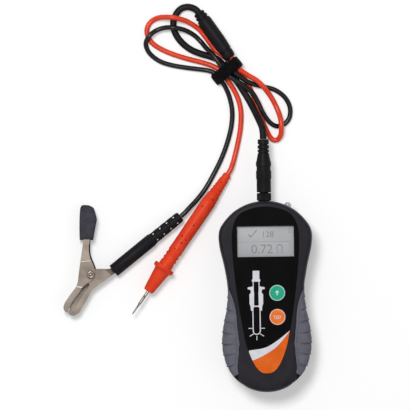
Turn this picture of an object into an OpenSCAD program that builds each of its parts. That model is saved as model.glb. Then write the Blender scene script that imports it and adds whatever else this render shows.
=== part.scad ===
/* [Case] */
// Length of the case from end to end
case_len = 140; // [136:1:146]
// Width of the case across its shoulders
case_w = 68.6; // [66:0.2:72]
// Thickness of the case from its back to its face
case_h = 31; // [30.6:0.1:33]
// Height of the joint line between the two shells
joint_z = 15.4; // [15:0.1:16.4]
// Wall of both shells
wall = 2.2; // [2:0.05:2.5]
// How far the rounded face edge comes in
edge_in = 2.4; // [2:0.1:2.8]
// Height of the rounding at the face
edge_rise = 7; // [6:0.1:7.2]
// How far the rounded back edge comes in
foot_in = 3; // [2.4:0.1:3.4]
// Height of the rounding at the back
foot_rise = 3.6; // [3:0.1:4]

/* [Side grips] */
// Greatest width of a rubber grip on the face
grip_w = 12.8; // [11:0.1:13.4]
// Thickness of the rubber skirt on the sides
skirt_t = 2.4; // [1.8:0.1:2.8]
// Number of rib grooves on each grip
grooves = 7; // [4:1:9]
// Spacing of the rib grooves
groove_pitch = 8.4; // [7:0.1:9]
// Width of one rib groove
groove_w = 0.9; // [0.5:0.1:1.4]
// Depth of one rib groove
groove_d = 1.1; // [0.6:0.1:1.3]

/* [Face] */
// Width of the face label, as a share of the case's width
label_w_share = 0.7114; // [0.69:0.002:0.72]
// Length of the face label, as a share of the case's length
label_len_share = 0.8707; // [0.85:0.001:0.874]
// Thickness of the face label
label_t = 0.5; // [0.3:0.05:0.7]
// Thickness of the face plate under the label
plate_t = 2.2; // [2:0.1:2.6]
// Width of the display window, as a share of the case's width
window_w_share = 0.605; // [0.56:0.001:0.612]
// Height of the display window, as a share of the case's length
window_h_share = 0.16; // [0.143:0.001:0.164]
// Distance of the window's middle from the case's middle, as a share of its length
window_y_share = 0.2879; // [0.28:0.001:0.296]
// Radius of a key
key_r = 5.9; // [5:0.1:6.4]
// Height of a key above the face
key_rise = 0.7; // [0.6:0.05:1.2]
// Distance of both keys from the middle line, as a share of the case's width
key_x_share = 0.1166; // [0.111:0.001:0.13]
// Place of the green key along the case, as a share of its length
green_key_share = 0.0186; // [0.015:0.001:0.028]
// Place of the orange key along the case, as a share of its length
orange_key_share = -0.1071; // [-0.128:0.001:-0.1]

/* [Inside] */
// Thickness of the circuit board
board_t = 1.6; // [1:0.1:1.8]
// Thickness of the display glass
glass_t = 2; // [1.6:0.1:2.2]
// Thickness of the display's light box
light_t = 2; // [1.6:0.1:2.2]
// Width of the nine-volt battery, as a share of the case's width
battery_w_share = 0.3863; // [0.37:0.001:0.391]
// Length of the battery, as a share of the case's length
battery_len_share = 0.3464; // [0.335:0.001:0.35]
// Thickness of the battery, as a share of the case's thickness
battery_t_share = 0.5645; // [0.53:0.001:0.568]
// Thickness of the battery door
door_t = 1.9; // [1.5:0.1:2.1]
// Width of the battery door, as a share of the case's width
door_w_share = 0.4519; // [0.44:0.001:0.47]
// Length of the battery door, as a share of the case's length
door_len_share = 0.3786; // [0.37:0.001:0.39]

/* [Screws] */
// Shank radius of a case screw
screw_r = 1.4; // [1.2:0.05:1.5]
// Head radius of a case screw
screw_head_r = 2.7; // [2.3:0.1:2.8]
// Shank radius of a board screw
board_screw_r = 1; // [0.8:0.05:1.1]
// Head radius of a board screw
board_head_r = 1.9; // [1.7:0.1:2.1]

/* [Torch] */
// Radius of the torch lamp
led_r = 2.5; // [1.5:0.1:2.5]
// Length of the torch lamp from flange to dome tip
led_len = 8.6; // [8.2:0.1:9]
// Distance of the torch lamp from the middle line
led_x = 16.8; // [16:0.1:18]

/* [Socket and plug] */
// Radius of the socket barrel
barrel_r = 4.3; // [4:0.1:4.4]
// Length of the socket barrel
barrel_len = 15; // [14.6:0.1:15.4]
// Radius of the locking collar
collar_r = 5.25; // [5.1:0.05:5.8]
// Length of the locking collar
collar_len = 5.5; // [5.3:0.1:5.8]
// Radius of the lead's plug at its rings
plug_r = 5.6; // [5.2:0.1:6]
// Length of the plug's body
plug_len = 22.8; // [21:0.1:24]
// Length of the ribbed boot behind the plug
boot_len = 16.1; // [16:0.1:16.4]
// Radius of the plug's nose in the socket
nose_r = 3.2; // [3:0.05:3.3]

/* [Leads] */
// Radius of the main cable
main_r = 2.5; // [2.2:0.05:2.5]
// Radius of the red lead
red_r = 1.9; // [1.6:0.05:1.9]
// Radius of the black lead
black_r = 1.8; // [1.5:0.05:1.8]
// Radius of the lead splitter
splitter_r = 5.3; // [4.6:0.1:5.4]
// Length of the lead splitter
splitter_len = 40.8; // [40:0.1:40.9]
// Lean of the splitter up to the strap, in degrees
splitter_lean = 5.5; // [5.2:0.1:5.6]
// Width of the bundle strap
strap_w = 10; // [8:0.1:10.2]
// Thickness of the bundle strap
strap_t = 1.1; // [1:0.05:1.15]

/* [Clip] */
// Distance from the clip's pivot to the tips of its jaws
jaw_len = 33; // [32:0.1:34]
// Height of the outer channel of the clip
channel_h = 10.4; // [10.2:0.1:11]
// Thickness of the clip's sheet
sheet_t = 0.7; // [0.5:0.05:0.75]
// Radius of the clip's rivet
rivet_r = 1.9; // [1.7:0.05:2]
// Length of the thumb grip
thumb_len = 25.6; // [24:0.1:26]
// Width of the thumb grip
thumb_w = 11.6; // [10.8:0.1:12]
// Radius of the clip's cable sleeve
sleeve_r = 4.9; // [4.7:0.05:5.1]
// Length of the clip's cable sleeve
sleeve_len = 63.4; // [62:0.1:63.4]
// Radius of the spring wire
wire_r = 0.42; // [0.3:0.02:0.5]
// Middle radius of the spring's coils
coil_r = 2.9; // [2.8:0.05:3]
// Coils of the spring
coils = 3; // [2:1:3]

/* [Probe] */
// Length of the probe from its boot to its point
probe_len = 124.6; // [122:0.1:126]
// Radius of the probe's grip
probe_r = 5.3; // [4.8:0.1:5.6]
// Radius of the finger guard
guard_r = 7.95; // [7.5:0.05:8.2]
// Radius of the steel needle
needle_r = 1.05; // [0.8:0.05:1.2]
// Lean of the probe on its guard, in degrees
probe_lean = 2.6; // [2.6:0.1:2.9]

/* [Hidden] */

// One overrun serves every cut
over = 0.5;
// Gap between pieces that are pressed or laid together
fit = 0.15;
// Gap under a piece that is seated
seat = 0.3;
// Running clearance of a pin in its hole
run_fit = 0.05;
// Smoothness of turned pieces
turn_fn = 48;

// The case's outline, from the bottom end up its right side to the top end
half_w = case_w / 2;
half_len = case_len / 2;
label_w = label_w_share * case_w;
label_len = label_len_share * case_len;
window_w = window_w_share * case_w;
window_h = window_h_share * case_len;
window_y = window_y_share * case_len;
key_x = key_x_share * case_w;
green_key_y = green_key_share * case_len;
orange_key_y = orange_key_share * case_len;
battery_w = battery_w_share * case_w;
battery_len = battery_len_share * case_len;
battery_t = battery_t_share * case_h;
door_w = door_w_share * case_w;
door_len = door_len_share * case_len;
outline_shares = [
    [0, -1], [0.35, -0.967], [0.668, -0.864], [0.857, -0.714], [0.948, -0.521], [0.921, -0.314],
    [0.843, -0.121], [0.819, 0.086], [0.886, 0.314], [0.983, 0.529], [0.988, 0.679],
    [0.875, 0.786], [0.641, 0.9], [0.335, 0.975], [0, 1]
];
outline_steps = 3;

// The label's outline, with a point for each of the case's points
label_shares = [
    [0, -1], [0.18, -0.984], [0.336, -0.921], [0.471, -0.82], [0.607, -0.664], [0.709, -0.458],
    [0.816, -0.199], [0.889, 0.02], [0.959, 0.283], [1, 0.543], [0.984, 0.717], [0.885, 0.847],
    [0.7, 0.93], [0.361, 0.982], [0, 1]
];
label_y = case_len * 0.0332;

// Where the grips lie along the case, and how wide they are there
grip_shares = [
    [-0.9, 0], [-0.875, 0.12], [-0.83, 0.36], [-0.74, 0.64], [-0.64, 0.86], [-0.5, 1],
    [-0.36, 0.9], [-0.21, 0.68], [-0.057, 0.4], [0.03, 0.2], [0.09, 0.06], [0.11, 0]
];
skirt_full_share = 0.3;
grip_end_share = 0.08;
grip_top_shares = [[0.06, 0.42], [0.2, 0.18], [0.42, 0.04], [0.78, 0]];
grip_bend_share = 0.2;
grip_rim_share = 0.84;
groove_first_share = -0.02;
groove_reach_shares = [0.82, 0.13];
groove_start_share = 0.8;
groove_low_share = 0.12;

// Heights inside the case, from the face down
plate_top = case_h - label_t;
ceiling_z = plate_top - plate_t;
board_top = ceiling_z - seat - glass_t - light_t;
board_z = board_top - board_t;
ledge_z = case_h - edge_rise;
ledge_step = 0.8;
ledge_top = ledge_z + ledge_step;
grip_land = 0.6;
back_step = 0.8;
foot_shares = [[0, 1], [0.25, 0.4], [1, 0]];
edge_ring_shares = [0.36, 0.1];

// Screw places: in from the outline's half width, and along the case as a share of its half length
screw_ins = [6.8, 6.4];
screw_places = [
    [half_w * 0.985 - screw_ins[0], half_len * 0.571],
    [half_w * 0.766 - screw_ins[1], half_len * -0.8]
];
screw_head_t = 2.2;
head_depth = 3;
well_r = screw_head_r + seat + wall / 2;
boss_wall = 1.7;
top_boss_r = screw_r + boss_wall;
low_boss_top = ledge_z - wall / 2;
screw_top = 20;

// Circuit board
board_upper_w = case_w * 0.6414;
board_lower_w = case_w * 0.446;
board_top_y = case_len * 0.3929;
board_low_y = case_len * -0.3571;
board_step_y = case_len * 0.0571;
board_post_r = 2.1;
board_post_upper = [case_w * 0.277, case_len * 0.1];
board_post_lower = [case_w * 0.175, case_len * -0.3286];
board_head_t = 1.4;

// Display parts under the window
glass_margin = 1.3;
light_margin = 1.8;
window_gap = 0.4;
window_corner = 0.8;

// Key parts
key_flange = 1;
key_flange_t = 0.8;
key_hole_gap = 0.15;
stem_r = 1.5;
stem_gap = 0.1;
switch_side = 6;
switch_h = 1.6;
plunger_r = 1.7;
plunger_h = 1.4;
plunger_fit = 0.1;
key_dome = 0.3;
plunger_drop = 0.8;

// Battery and its door
battery_y = case_len * -0.3714;
battery_z = wall + seat;
battery_corner = 2.4;
battery_gap = 0.4;
door_y = case_len * -0.1979;
door_gap = 0.25;
door_rise = 0.1;
door_rim = 2;
door_rim_h = 1.2;
door_step = door_rim + door_gap;
contact_w = 5;
contact_t = 0.8;
contact_x = battery_w * 0.2415;
terminal_r = battery_t * 0.16;
terminal_h = 2;
bay_wall = 1.4;
bay_h = 9;
bay_share = 0.7;

// Chips and the like on the board's underside
chip_side = 10;
chip_t = 1.4;
chip_place = [case_w * -0.1458, case_len * 0.2429];
shunt_size = [9, 22, 8];
shunt_place = [case_w * 0.1166, case_len * 0.2571];
buzzer_r = 6;
buzzer_h = 6.5;
buzzer_place = [case_w * -0.1312, case_len * 0.1143];

// Torch lamp
led_tip_y = half_len - 1;
led_flange = 0.4;
led_flange_t = 1;
led_leg_r = 0.3;
led_leg_x = 1.27;
led_leg_y = half_len - 17;

// Socket and plug on the end of the case
socket_x = -0.5;
nut_r = 6.2;
nut_t = 2.8;
nut_gap = 0.9;
barrel_wall = 0.9;
collar_gap = 0.2;
collar_lip = 0.8;
knurl_r = 0.26;
plug_gap = 0.5;
plug_nose = 10;
boot_r = 4.2;
plug_shares = [
    [0.94, 0], [0.94, 0.43], [1, 0.45], [1, 0.7], [0.96, 0.71], [0.96, 0.83], [1, 0.84],
    [1, 0.97], [0.95, 1]
];
boot_shares = [
    [1.24, 0], [1.02, 0.3], [1, 0.36], [1, 0.5], [0.86, 0.51], [0.86, 0.56], [0.98, 0.57],
    [0.98, 0.72], [0.85, 0.73], [0.85, 0.78], [0.96, 0.79], [0.96, 1]
];

// Lead splitter, from its cable end to its neck, with that end resting on its ribs
splitter_end = [-46.6, 208.9, 4.75];
splitter_turn = -57.5;
splitter_shares = [
    [0.62, 0], [0.78, 0.005], [0.78, 0.045], [0.7, 0.05], [0.7, 0.07], [0.88, 0.075],
    [0.88, 0.12], [0.76, 0.125], [0.76, 0.145], [0.98, 0.15], [1, 0.2], [1, 0.55], [0.86, 0.8],
    [0.78, 0.82], [0.7, 0.88], [0.64, 1]
];

// Strap round the bundle
strap_place = [-26.3, 165.9];
strap_turn = 38.3;
strap_in_w = 21.8;
strap_in_h = 10;
strap_corner = 2.2;
tab_len = 7;
tab_w = 8;
tab_t = 1;

// Clip, drawn with its pivot at the origin and its jaws along +X
clip_place = [-128.3, 17.6, 6.2];
clip_turn = 241.8;
plate_gap = 0.3;
rivet_head = 1.3;
rivet_head_t = 0.5;
disc_r = 4.7;
moving_shares = [
    [-1.33, -0.68], [-0.68, -0.373], [-0.53, -0.318], [-0.36, -0.209], [-0.22, -0.048],
    [-0.14, 0.03], [0, 0.1], [0.145, 0.064], [0.245, 0.003], [0.436, -0.064], [0.655, -0.1],
    [0.833, -0.106], [0.915, -0.094], [0.975, -0.085], [0.985, -0.13], [0.95, -0.185],
    [0.9, -0.212], [0.812, -0.227], [0.585, -0.2], [0.339, -0.17], [0.088, -0.252],
    [-0.158, -0.342], [-0.367, -0.412], [-0.612, -0.503], [-1.29, -0.8]
];
fixed_shares = [
    [-0.67, 0.648], [-0.73, 0.503], [-0.336, 0.306], [-0.164, 0.036], [0, -0.1], [0.15, 0],
    [0.218, 0.079], [0.352, 0.058], [0.536, 0.042], [0.77, 0.027], [0.88, -0.008],
    [0.91, -0.06], [0.96, -0.062], [0.993, -0.02], [1, 0.03], [0.97, 0.09], [0.87, 0.158],
    [0.767, 0.161], [0.536, 0.176], [0.355, 0.182], [0.248, 0.203], [0.064, 0.291],
    [-0.267, 0.455]
];
web_shift_shares = [0.4, 1];
thumb_shares = [
    [0, -0.36], [0, 0.46], [0.2, 0.5], [0.55, 0.5], [0.82, 0.48], [0.93, 0.38], [1, 0.2],
    [0.93, -0.27], [0.87, -0.42], [0.6, -0.5], [0.4, -0.48]
];
thumb_place = [-21.4, -14.2];
thumb_turn = 206.2;
thumb_h = 12;
thumb_round = 0.7;
sleeve_place = [-10.2, 13.5];
sleeve_turn = 156.6;
sleeve_bore_r = 3.85;
sleeve_bore_len = 16;
tongue_h = sleeve_bore_r * 1.44;
sleeve_shares = [
    [0.96, 0], [1, 0.01], [1, 0.575], [0.92, 0.585], [0.9, 0.62], [0.86, 0.8], [0.8, 0.93],
    [0.76, 0.99], [0.68, 1]
];
slot_rows = 5;
slot_first_share = 0.61;
slot_step_share = 0.075;
slot_out_share = 0.62;
slot_w = 1.5;
slot_long = 3;
spring_turn_start = -57.3;
spring_turn_over = 91.7;
spring_half_h = 2.5;
spring_leg_moving = 13.6;
spring_leg_fixed = 10;
coil_rings = 8;

// Probe, from its boot to its point
probe_place = [-26.8, 89.9, 4.4];
probe_turn = 234.9;
handle_share = 0.658;
nose_share = 0.834;
probe_fit = 0.02;
handle_bore_len = 10;
handle_shares = [
    [0.45, 0], [0.55, 0.012], [0.62, 0.06], [0.8, 0.2], [0.92, 0.25], [0.9, 0.256],
    [0.9, 0.264], [0.98, 0.27], [0.94, 0.276], [0.94, 0.284], [1, 0.29], [1, 0.55], [0.97, 0.7],
    [0.98, 0.86], [0.92, 0.865], [0.92, 0.88], [0.98, 0.885], [0.92, 0.9], [0.92, 0.915],
    [0.98, 0.92], [0.92, 0.935], [0.92, 0.95], [0.98, 0.955], [0.98, 1]
];
nose_shares = [
    [1, 0], [1, 0.115], [0.72, 0.125], [0.7, 0.2], [0.5, 0.94], [0.44, 1]
];
needle_shares = [
    [1, 0], [1, 0.66], [0.62, 0.72], [0.62, 0.88], [0.1, 1]
];
needle_hold = 6;

// Routes of the cords, on the cords' middle lines
main_points = [
    [-0.5, 115.2, 15.4], [-0.5, 117.6, 15.4], [-0.6, 120, 15.3], [-1.2, 124, 14.2],
    [-3.2, 129, 11.6], [-6.2, 135.6, 7.9], [-10.8, 144.6, 4.7], [-16.6, 154.2, 4], [-20, 159.2, 4],
    [-22.4, 162.5, 4], [-25.3, 166.6, 4], [-29, 170.2, 4.1], [-33, 174.2, 3.5],
    [-38.6, 176.6, 2.7], [-45, 178.5, 2.6], [-52.2, 181.6, 2.6], [-58, 186, 2.6],
    [-62.4, 191.4, 2.6], [-64.8, 197, 2.6], [-65, 202.3, 2.6], [-63.5, 206.8, 2.6],
    [-61.4, 210, 2.6], [-58.4, 212.3, 2.7], [-54.7, 213.1, 3.1], [-51.4, 212.5, 3.8],
    [-49.2, 211.5, 4.3], [-47.9, 210.5, 4.55], [-47.2, 209.8, 4.65], [-46.6, 208.9, 4.75]
];
main_steps = 2;
main_sides = 10;
red_loop_points = [
    [-22.8, 175.5, 8.7], [-21.7, 173.8, 8.7], [-20.6, 172, 8.5], [-19.2, 169.6, 7.9],
    [-17, 166.6, 7.5], [-10.4, 162, 7], [-4.8, 158.6, 6.9], [0, 154, 6.4], [4.6, 148, 4.4],
    [8.3, 141.5, 2.8], [11.2, 134.6, 3.6], [12.7, 128.6, 5.8], [13, 123.4, 6.2], [12.6, 118.6, 4.4],
    [10.4, 115, 2.5], [7, 114.6, 2.1], [4.2, 117.6, 2.1], [1.8, 122.4, 2.1], [-0.4, 127.6, 2.1],
    [-2.4, 133.5, 2.1], [-5.3, 142.4, 2.1], [-9, 151.7, 2.1], [-12.9, 159.1, 2.8],
    [-16, 162.9, 3.3], [-18.5, 165.7, 3.4], [-21.6, 169.7, 3.4], [-24.9, 173.3, 3.3],
    [-29.2, 177, 2.7], [-34.8, 181.4, 2.1], [-41.2, 190.2, 2.1], [-47, 197.2, 2.2],
    [-54.5, 202.2, 4.2], [-59.6, 204.1, 6.6], [-64.8, 205.3, 7.6], [-70.2, 205.8, 6.4],
    [-76, 205.4, 3.6], [-80.8, 203.2, 2.2], [-83.8, 199.4, 2.1], [-84.6, 194.8, 2.1],
    [-83, 190.2, 2.1], [-79.4, 185.8, 2.1], [-72.3, 181.4, 2.1], [-63.6, 177.8, 2.1],
    [-54.1, 174.8, 2.1], [-45.4, 172.5, 2.1], [-39, 170.4, 2.2], [-35, 168.6, 2.8],
    [-32.7, 167.1, 3.2], [-30.8, 165.2, 3.4], [-29.4, 163.4, 3.4], [-28, 161.6, 3.4]
];
red_tail_points = [
    [-28, 161.6, 3.4], [-26.6, 159.8, 3.4], [-24.6, 157, 2.9], [-20.9, 150.8, 2.1],
    [-17.8, 143.2, 2.1], [-16.4, 134.4, 2.1], [-17, 123.5, 2.1], [-19, 112.8, 2.1],
    [-21, 104.6, 2.4], [-22.6, 98.8, 3.2], [-24, 94.8, 4.1], [-25.4, 92, 4.3], [-26.8, 89.9, 4.4],
    [-29.4, 86.2, 4.6], [-31.9, 82.6, 4.8]
];
black_loop_points = [
    [-26.3, 173.3, 8.7], [-25.3, 171.7, 8.7], [-24.3, 170.1, 8.7], [-22.7, 167.4, 8.6],
    [-20.5, 164.2, 8.5], [-16.3, 161.1, 8.1], [-11.8, 157.8, 7], [-6.4, 155.6, 4.6],
    [-1, 154.1, 2.2], [8.5, 151.4, 2], [15.6, 146.1, 2], [19.4, 138.9, 2], [19.2, 131.4, 2],
    [15.6, 126.4, 2], [9.7, 124.7, 2.1], [4.4, 127.8, 4.6], [-0.2, 134.4, 6.3], [-3.9, 142.5, 6.3],
    [-8.4, 150, 6.9], [-15.4, 155.6, 8.6], [-19.6, 158.2, 8.8], [-23.8, 161.4, 8.7],
    [-27.4, 164.9, 8.4], [-30.5, 169, 8.7], [-33.2, 173.4, 8.6], [-36.4, 177.7, 7.6],
    [-39, 180.5, 6.2], [-41.8, 183.4, 3.8], [-45, 187.4, 2.1], [-49.4, 191.8, 2], [-54.4, 195, 3.3],
    [-59.6, 197, 6.1], [-65, 197.9, 7.5], [-70.6, 198.1, 6.1], [-77, 196.4, 5.3],
    [-82.4, 192.6, 6.4], [-85.4, 187.2, 5.6], [-84.2, 181.6, 2.9], [-80, 176.7, 2], [-74, 172.9, 2],
    [-66.1, 170.4, 2], [-56.5, 168.6, 2], [-47.8, 167.4, 2], [-42, 166.6, 2.1], [-38.4, 165.7, 2.6],
    [-36, 164.5, 3.1], [-34, 162.6, 3.3], [-32.6, 160.8, 3.3], [-31.2, 159, 3.3]
];
black_tail_points = [
    [-31.2, 159, 3.3], [-29.8, 157.2, 3.3], [-27.9, 154.4, 2.9], [-24.8, 146.8, 2],
    [-22.9, 136.6, 2], [-23.6, 125.4, 2], [-27, 112.5, 2], [-31.7, 100.6, 2], [-37.4, 89.6, 2.1],
    [-43.6, 79.2, 2.9], [-49.8, 71.4, 4.2], [-55.2, 65.8, 5.6], [-58.8, 62, 6.2],
    [-61.7, 59.5, 6.2]
];
loop_steps = 2;
loop_sides = 6;
tail_steps = 2;
tail_sides = 8;

// A smooth curve between the second and third of four points
function between(a, b, c, d, t) =
    0.5 * ((2 * b) + (c - a) * t + (2 * a - 5 * b + 4 * c - d) * t * t
    + (3 * b - a - 3 * c + d) * t * t * t);
// A closed smooth curve through a list of points
function closed_curve(p, n) = [
    for (i = [0 : len(p) - 1], k = [0 : n - 1])
        between(p[(i + len(p) - 1) % len(p)], p[i], p[(i + 1) % len(p)], p[(i + 2) % len(p)], k / n)
];
// An open smooth curve through a list of points
function open_curve(p, n) = concat([
    for (i = [0 : len(p) - 2], k = [0 : n - 1])
        between(
            i == 0 ? 2 * p[0] - p[1] : p[i - 1], p[i], p[i + 1],
            i == len(p) - 2 ? 2 * p[i + 1] - p[i] : p[i + 2], k / n)
], [p[len(p) - 1]]);
// Both sides of an outline from its right side
function both_sides(s) = concat(s, [for (i = [len(s) - 2 : -1 : 1]) [-s[i][0], s[i][1]]]);
function unit(v) = v / norm(v);
// The way out of an outline at each of its points
function ways_out(p) = [
    for (i = [0 : len(p) - 1])
        let (t = unit(p[(i + 1) % len(p)] - p[(i + len(p) - 1) % len(p)])) [t[1], -t[0]]
];
// Faces that join rings of n points, with both ends closed
function loft_faces(n, rings) = concat(
    [[for (i = [0 : n - 1]) i]],
    [
        for (j = [0 : rings - 2], i = [0 : n - 1])
            [j * n + i, (j + 1) * n + i, (j + 1) * n + (i + 1) % n]
    ],
    [
        for (j = [0 : rings - 2], i = [0 : n - 1])
            [j * n + i, (j + 1) * n + (i + 1) % n, j * n + (i + 1) % n]
    ],
    [[for (i = [n - 1 : -1 : 0]) (rings - 1) * n + i]]
);

case_outline = closed_curve(
    [for (s = both_sides(outline_shares)) [s[0] * half_w, s[1] * half_len]], outline_steps);
case_ways = ways_out(case_outline);
label_outline = closed_curve(
    [for (s = both_sides(label_shares)) [s[0] * label_w / 2, s[1] * label_len / 2 + label_y]],
    outline_steps);
label_ways = ways_out(label_outline);
ring_count = len(case_outline);
all_points = [0 : ring_count - 1];

// How far a grip reaches in at each point of the outline, on the face and on the side
grip_depths = [for (p = case_outline) grip_w * lookup(p[1] / half_len, grip_shares)];
skirt_depths = [for (d = grip_depths) skirt_t * min(1, d / grip_w / skirt_full_share)];

// How far the face's rounding comes in at a height
function edge_at(z) =
    z <= ledge_z ? 0 : edge_in * (1 - sqrt(max(0, 1 - pow((z - ledge_z) / edge_rise, 2))));
// A ring of points at a height, moved in by a list of depths
function case_ring(z, depths) = [
    for (i = all_points)
        let (p = case_outline[i] - depths[i] * case_ways[i]) [p[0], p[1], z]
];
function label_ring(z, out) = [
    for (i = all_points)
        let (p = label_outline[i] + out * label_ways[i]) [p[0], p[1], z]
];
function at_least(list, low, more = 0) = [for (d = list) max(d, low) + more];
function flat_list(rings) = [for (r = rings, p = r) p];

module loft(rings) {
    polyhedron(points = flat_list(rings), faces = loft_faces(len(rings[0]), len(rings)), convexity = 8);
}

// A block centred in X and Y on its lowest face
module block(size, place = [0, 0, 0]) {
    translate([place[0] - size[0] / 2, place[1] - size[1] / 2, place[2]])
        cube(size);
}

// A block with round upright corners
module soft_block(size, r) {
    block([size[0] - 2 * r, size[1], size[2]]);
    block([size[0], size[1] - 2 * r, size[2]]);
    for (x = [-1, 1], y = [-1, 1])
        translate([x * (size[0] / 2 - r), y * (size[1] / 2 - r), 0])
            cylinder(h = size[2], r = r, $fn = turn_fn);
}

// A turned piece from shares of its radius and length, standing on the origin
module turned(shares, r, length) {
    rotate_extrude($fn = turn_fn)
        polygon(concat([[0, 0]], [for (s = shares) [s[0] * r, s[1] * length]], [[0, length]]));
}

// Turns a standing piece to lie along +Y
module along_y() {
    rotate([-90, 0, 0])
        children();
}

module at_case_screws() {
    for (x = [-1, 1], p = screw_places)
        translate([x * p[0], p[1], 0])
            children();
}

module at_board_screws() {
    for (x = [-1, 1], p = [board_post_upper, board_post_lower])
        translate([x * p[0], p[1], 0])
            children();
}

// Torch and socket holes, on the joint line of both shells
module end_holes() {
    translate([led_x, led_tip_y - led_len, joint_z])
        along_y() cylinder(h = led_len, r = led_r + fit, $fn = turn_fn);
    translate([socket_x, half_len - 3 * wall, joint_z])
        along_y() cylinder(h = 4 * wall, r = barrel_r + fit, $fn = turn_fn);
}

module back_shell() {
    color("#2b292e") difference() {
        union() {
            loft([
                for (s = foot_shares)
                    case_ring(foot_rise * s[0], [for (i = all_points) foot_in * s[1]]),
                case_ring(foot_rise + back_step, skirt_depths),
                case_ring(joint_z, skirt_depths),
                case_ring(joint_z, at_least(skirt_depths, 0, wall)),
                case_ring(foot_rise + back_step, at_least(skirt_depths, 0, wall)),
                case_ring(wall, at_least(skirt_depths, foot_in / 2, wall))
            ]);
            at_case_screws()
                translate([0, 0, wall / 2])
                    cylinder(h = joint_z - wall / 2, r = top_boss_r, $fn = turn_fn);
            at_case_screws()
                translate([0, 0, wall / 2])
                    cylinder(h = head_depth + wall / 2, r = well_r, $fn = turn_fn);
            battery_bay();
        }
        at_case_screws() {
            translate([0, 0, -over])
                cylinder(h = head_depth + over, r = screw_head_r + seat, $fn = turn_fn);
            cylinder(h = joint_z + over, r = screw_r + fit, $fn = turn_fn);
        }
        block([door_w - 2 * door_rim, door_len - 2 * door_rim, wall + 2 * over], [0, door_y, -over]);
        block([door_w + 2 * door_gap, door_len + 2 * door_gap, door_rim_h + over], [0, door_y, -over]);
        end_holes();
    }
}

// Walls that stand round the battery on the back shell's floor
module battery_bay() {
    bay_w = battery_w + 2 * battery_gap;
    for (x = [-1, 1])
        block([bay_wall, battery_len * bay_share, bay_h],
            [x * (bay_w + bay_wall) / 2, battery_y + battery_len / 2, wall / 2]);
}

module front_shell() {
    color("#2b292e") difference() {
        union() {
            loft([
                case_ring(ceiling_z, at_least(grip_depths, edge_in, wall)),
                case_ring(ledge_top - wall, at_least(grip_depths, edge_at(ledge_top), wall)),
                case_ring(ledge_z - wall, at_least(skirt_depths, 0, wall)),
                case_ring(joint_z, at_least(skirt_depths, 0, wall)),
                case_ring(joint_z, skirt_depths),
                case_ring(ledge_z, skirt_depths),
                case_ring(ledge_top, at_least(grip_depths, edge_at(ledge_top))),
                for (s = edge_ring_shares)
                    case_ring(
                        case_h - edge_rise * s,
                        at_least(grip_depths, edge_at(case_h - edge_rise * s))),
                case_ring(
                    case_h, [for (d = grip_depths) max(d > 0 ? d + grip_land : 0, edge_in)]),
                label_ring(case_h, fit),
                label_ring(plate_top, fit)
            ]);
            for (x = [-1, 1])
                translate([x * screw_places[0][0], screw_places[0][1], joint_z])
                    cylinder(h = ceiling_z - joint_z + wall / 4, r = top_boss_r, $fn = turn_fn);
            for (x = [-1, 1])
                translate([x * screw_places[1][0], screw_places[1][1], joint_z])
                    cylinder(h = low_boss_top - joint_z, r = top_boss_r, $fn = turn_fn);
            at_board_screws()
                translate([0, 0, board_top])
                    cylinder(h = ceiling_z - board_top + wall / 4, r = board_post_r, $fn = turn_fn);
        }
        at_case_screws()
            translate([0, 0, joint_z - over])
                cylinder(h = screw_top - joint_z + 2 * over, r = screw_r + run_fit, $fn = turn_fn);
        at_board_screws()
            translate([0, 0, board_top - over])
                cylinder(h = ceiling_z - board_top + over, r = board_screw_r + run_fit, $fn = turn_fn);
        block(
            [window_w, window_h, plate_t + label_t + 2 * over], [0, window_y, ceiling_z - over]);
        at_keys()
            translate([0, 0, ceiling_z - over])
                cylinder(h = plate_t + label_t + 2 * over, r = key_r + key_hole_gap, $fn = turn_fn);
        end_holes();
    }
}

// The rubber grip of the right side, swept along its stretch of the outline
grip_span = [
    for (i = all_points)
        if (case_outline[i][0] > 0 && grip_depths[i] > grip_w * grip_end_share) i
];
// Height of the case's rounding at a distance in from its side
function rounded_z(x) =
    x >= edge_in ? case_h : ledge_z + edge_rise * sqrt(1 - pow(1 - x / edge_in, 2));
function grip_section(i) =
    let (
        d = grip_depths[i] - fit,
        t = max(skirt_depths[i] - fit, fit),
        land = grip_land * min(1, max(0, d / edge_in - 1)),
        low_side = [
            [0, foot_rise + 2 * fit], [0, ledge_z + grip_bend_share * edge_rise * d / grip_w]
        ],
        top = [
            for (q = grip_top_shares)
                [q[0] * d, min(rounded_z(q[0] * d), case_h - q[1] * edge_rise)]
        ],
        rim = [for (q = [grip_rim_share * d, d]) [q, rounded_z(q) + land]],
        inside = [[d, ledge_top + fit], [t, ledge_z + fit], [t, foot_rise + back_step + 2 * fit]],
        points = concat(low_side, top, rim, inside)
    )
    [for (q = points) let (p = case_outline[i] - q[0] * case_ways[i]) [p[0], p[1], q[1]]];

module side_grip() {
    difference() {
        loft([for (i = grip_span) grip_section(i)]);
        for (k = [0 : grooves - 1])
            translate([half_w / 2, half_len * groove_first_share - k * groove_pitch, ledge_z])
                rib_groove(half_w * (groove_reach_shares * [1, sin(180 * k / grooves)] - 0.5));
    }
}

// One groove across the grip's face, open at its side
module rib_groove(reach) {
    translate([
        reach - groove_pitch * groove_start_share, -groove_w / 2,
        edge_rise * (1 - groove_low_share) - groove_d
    ])
        cube([half_w, groove_w, edge_rise]);
}

module right_grip() {
    color("#64646f") side_grip();
}

module left_grip() {
    color("#64646f") mirror([1, 0, 0]) side_grip();
}

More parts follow.
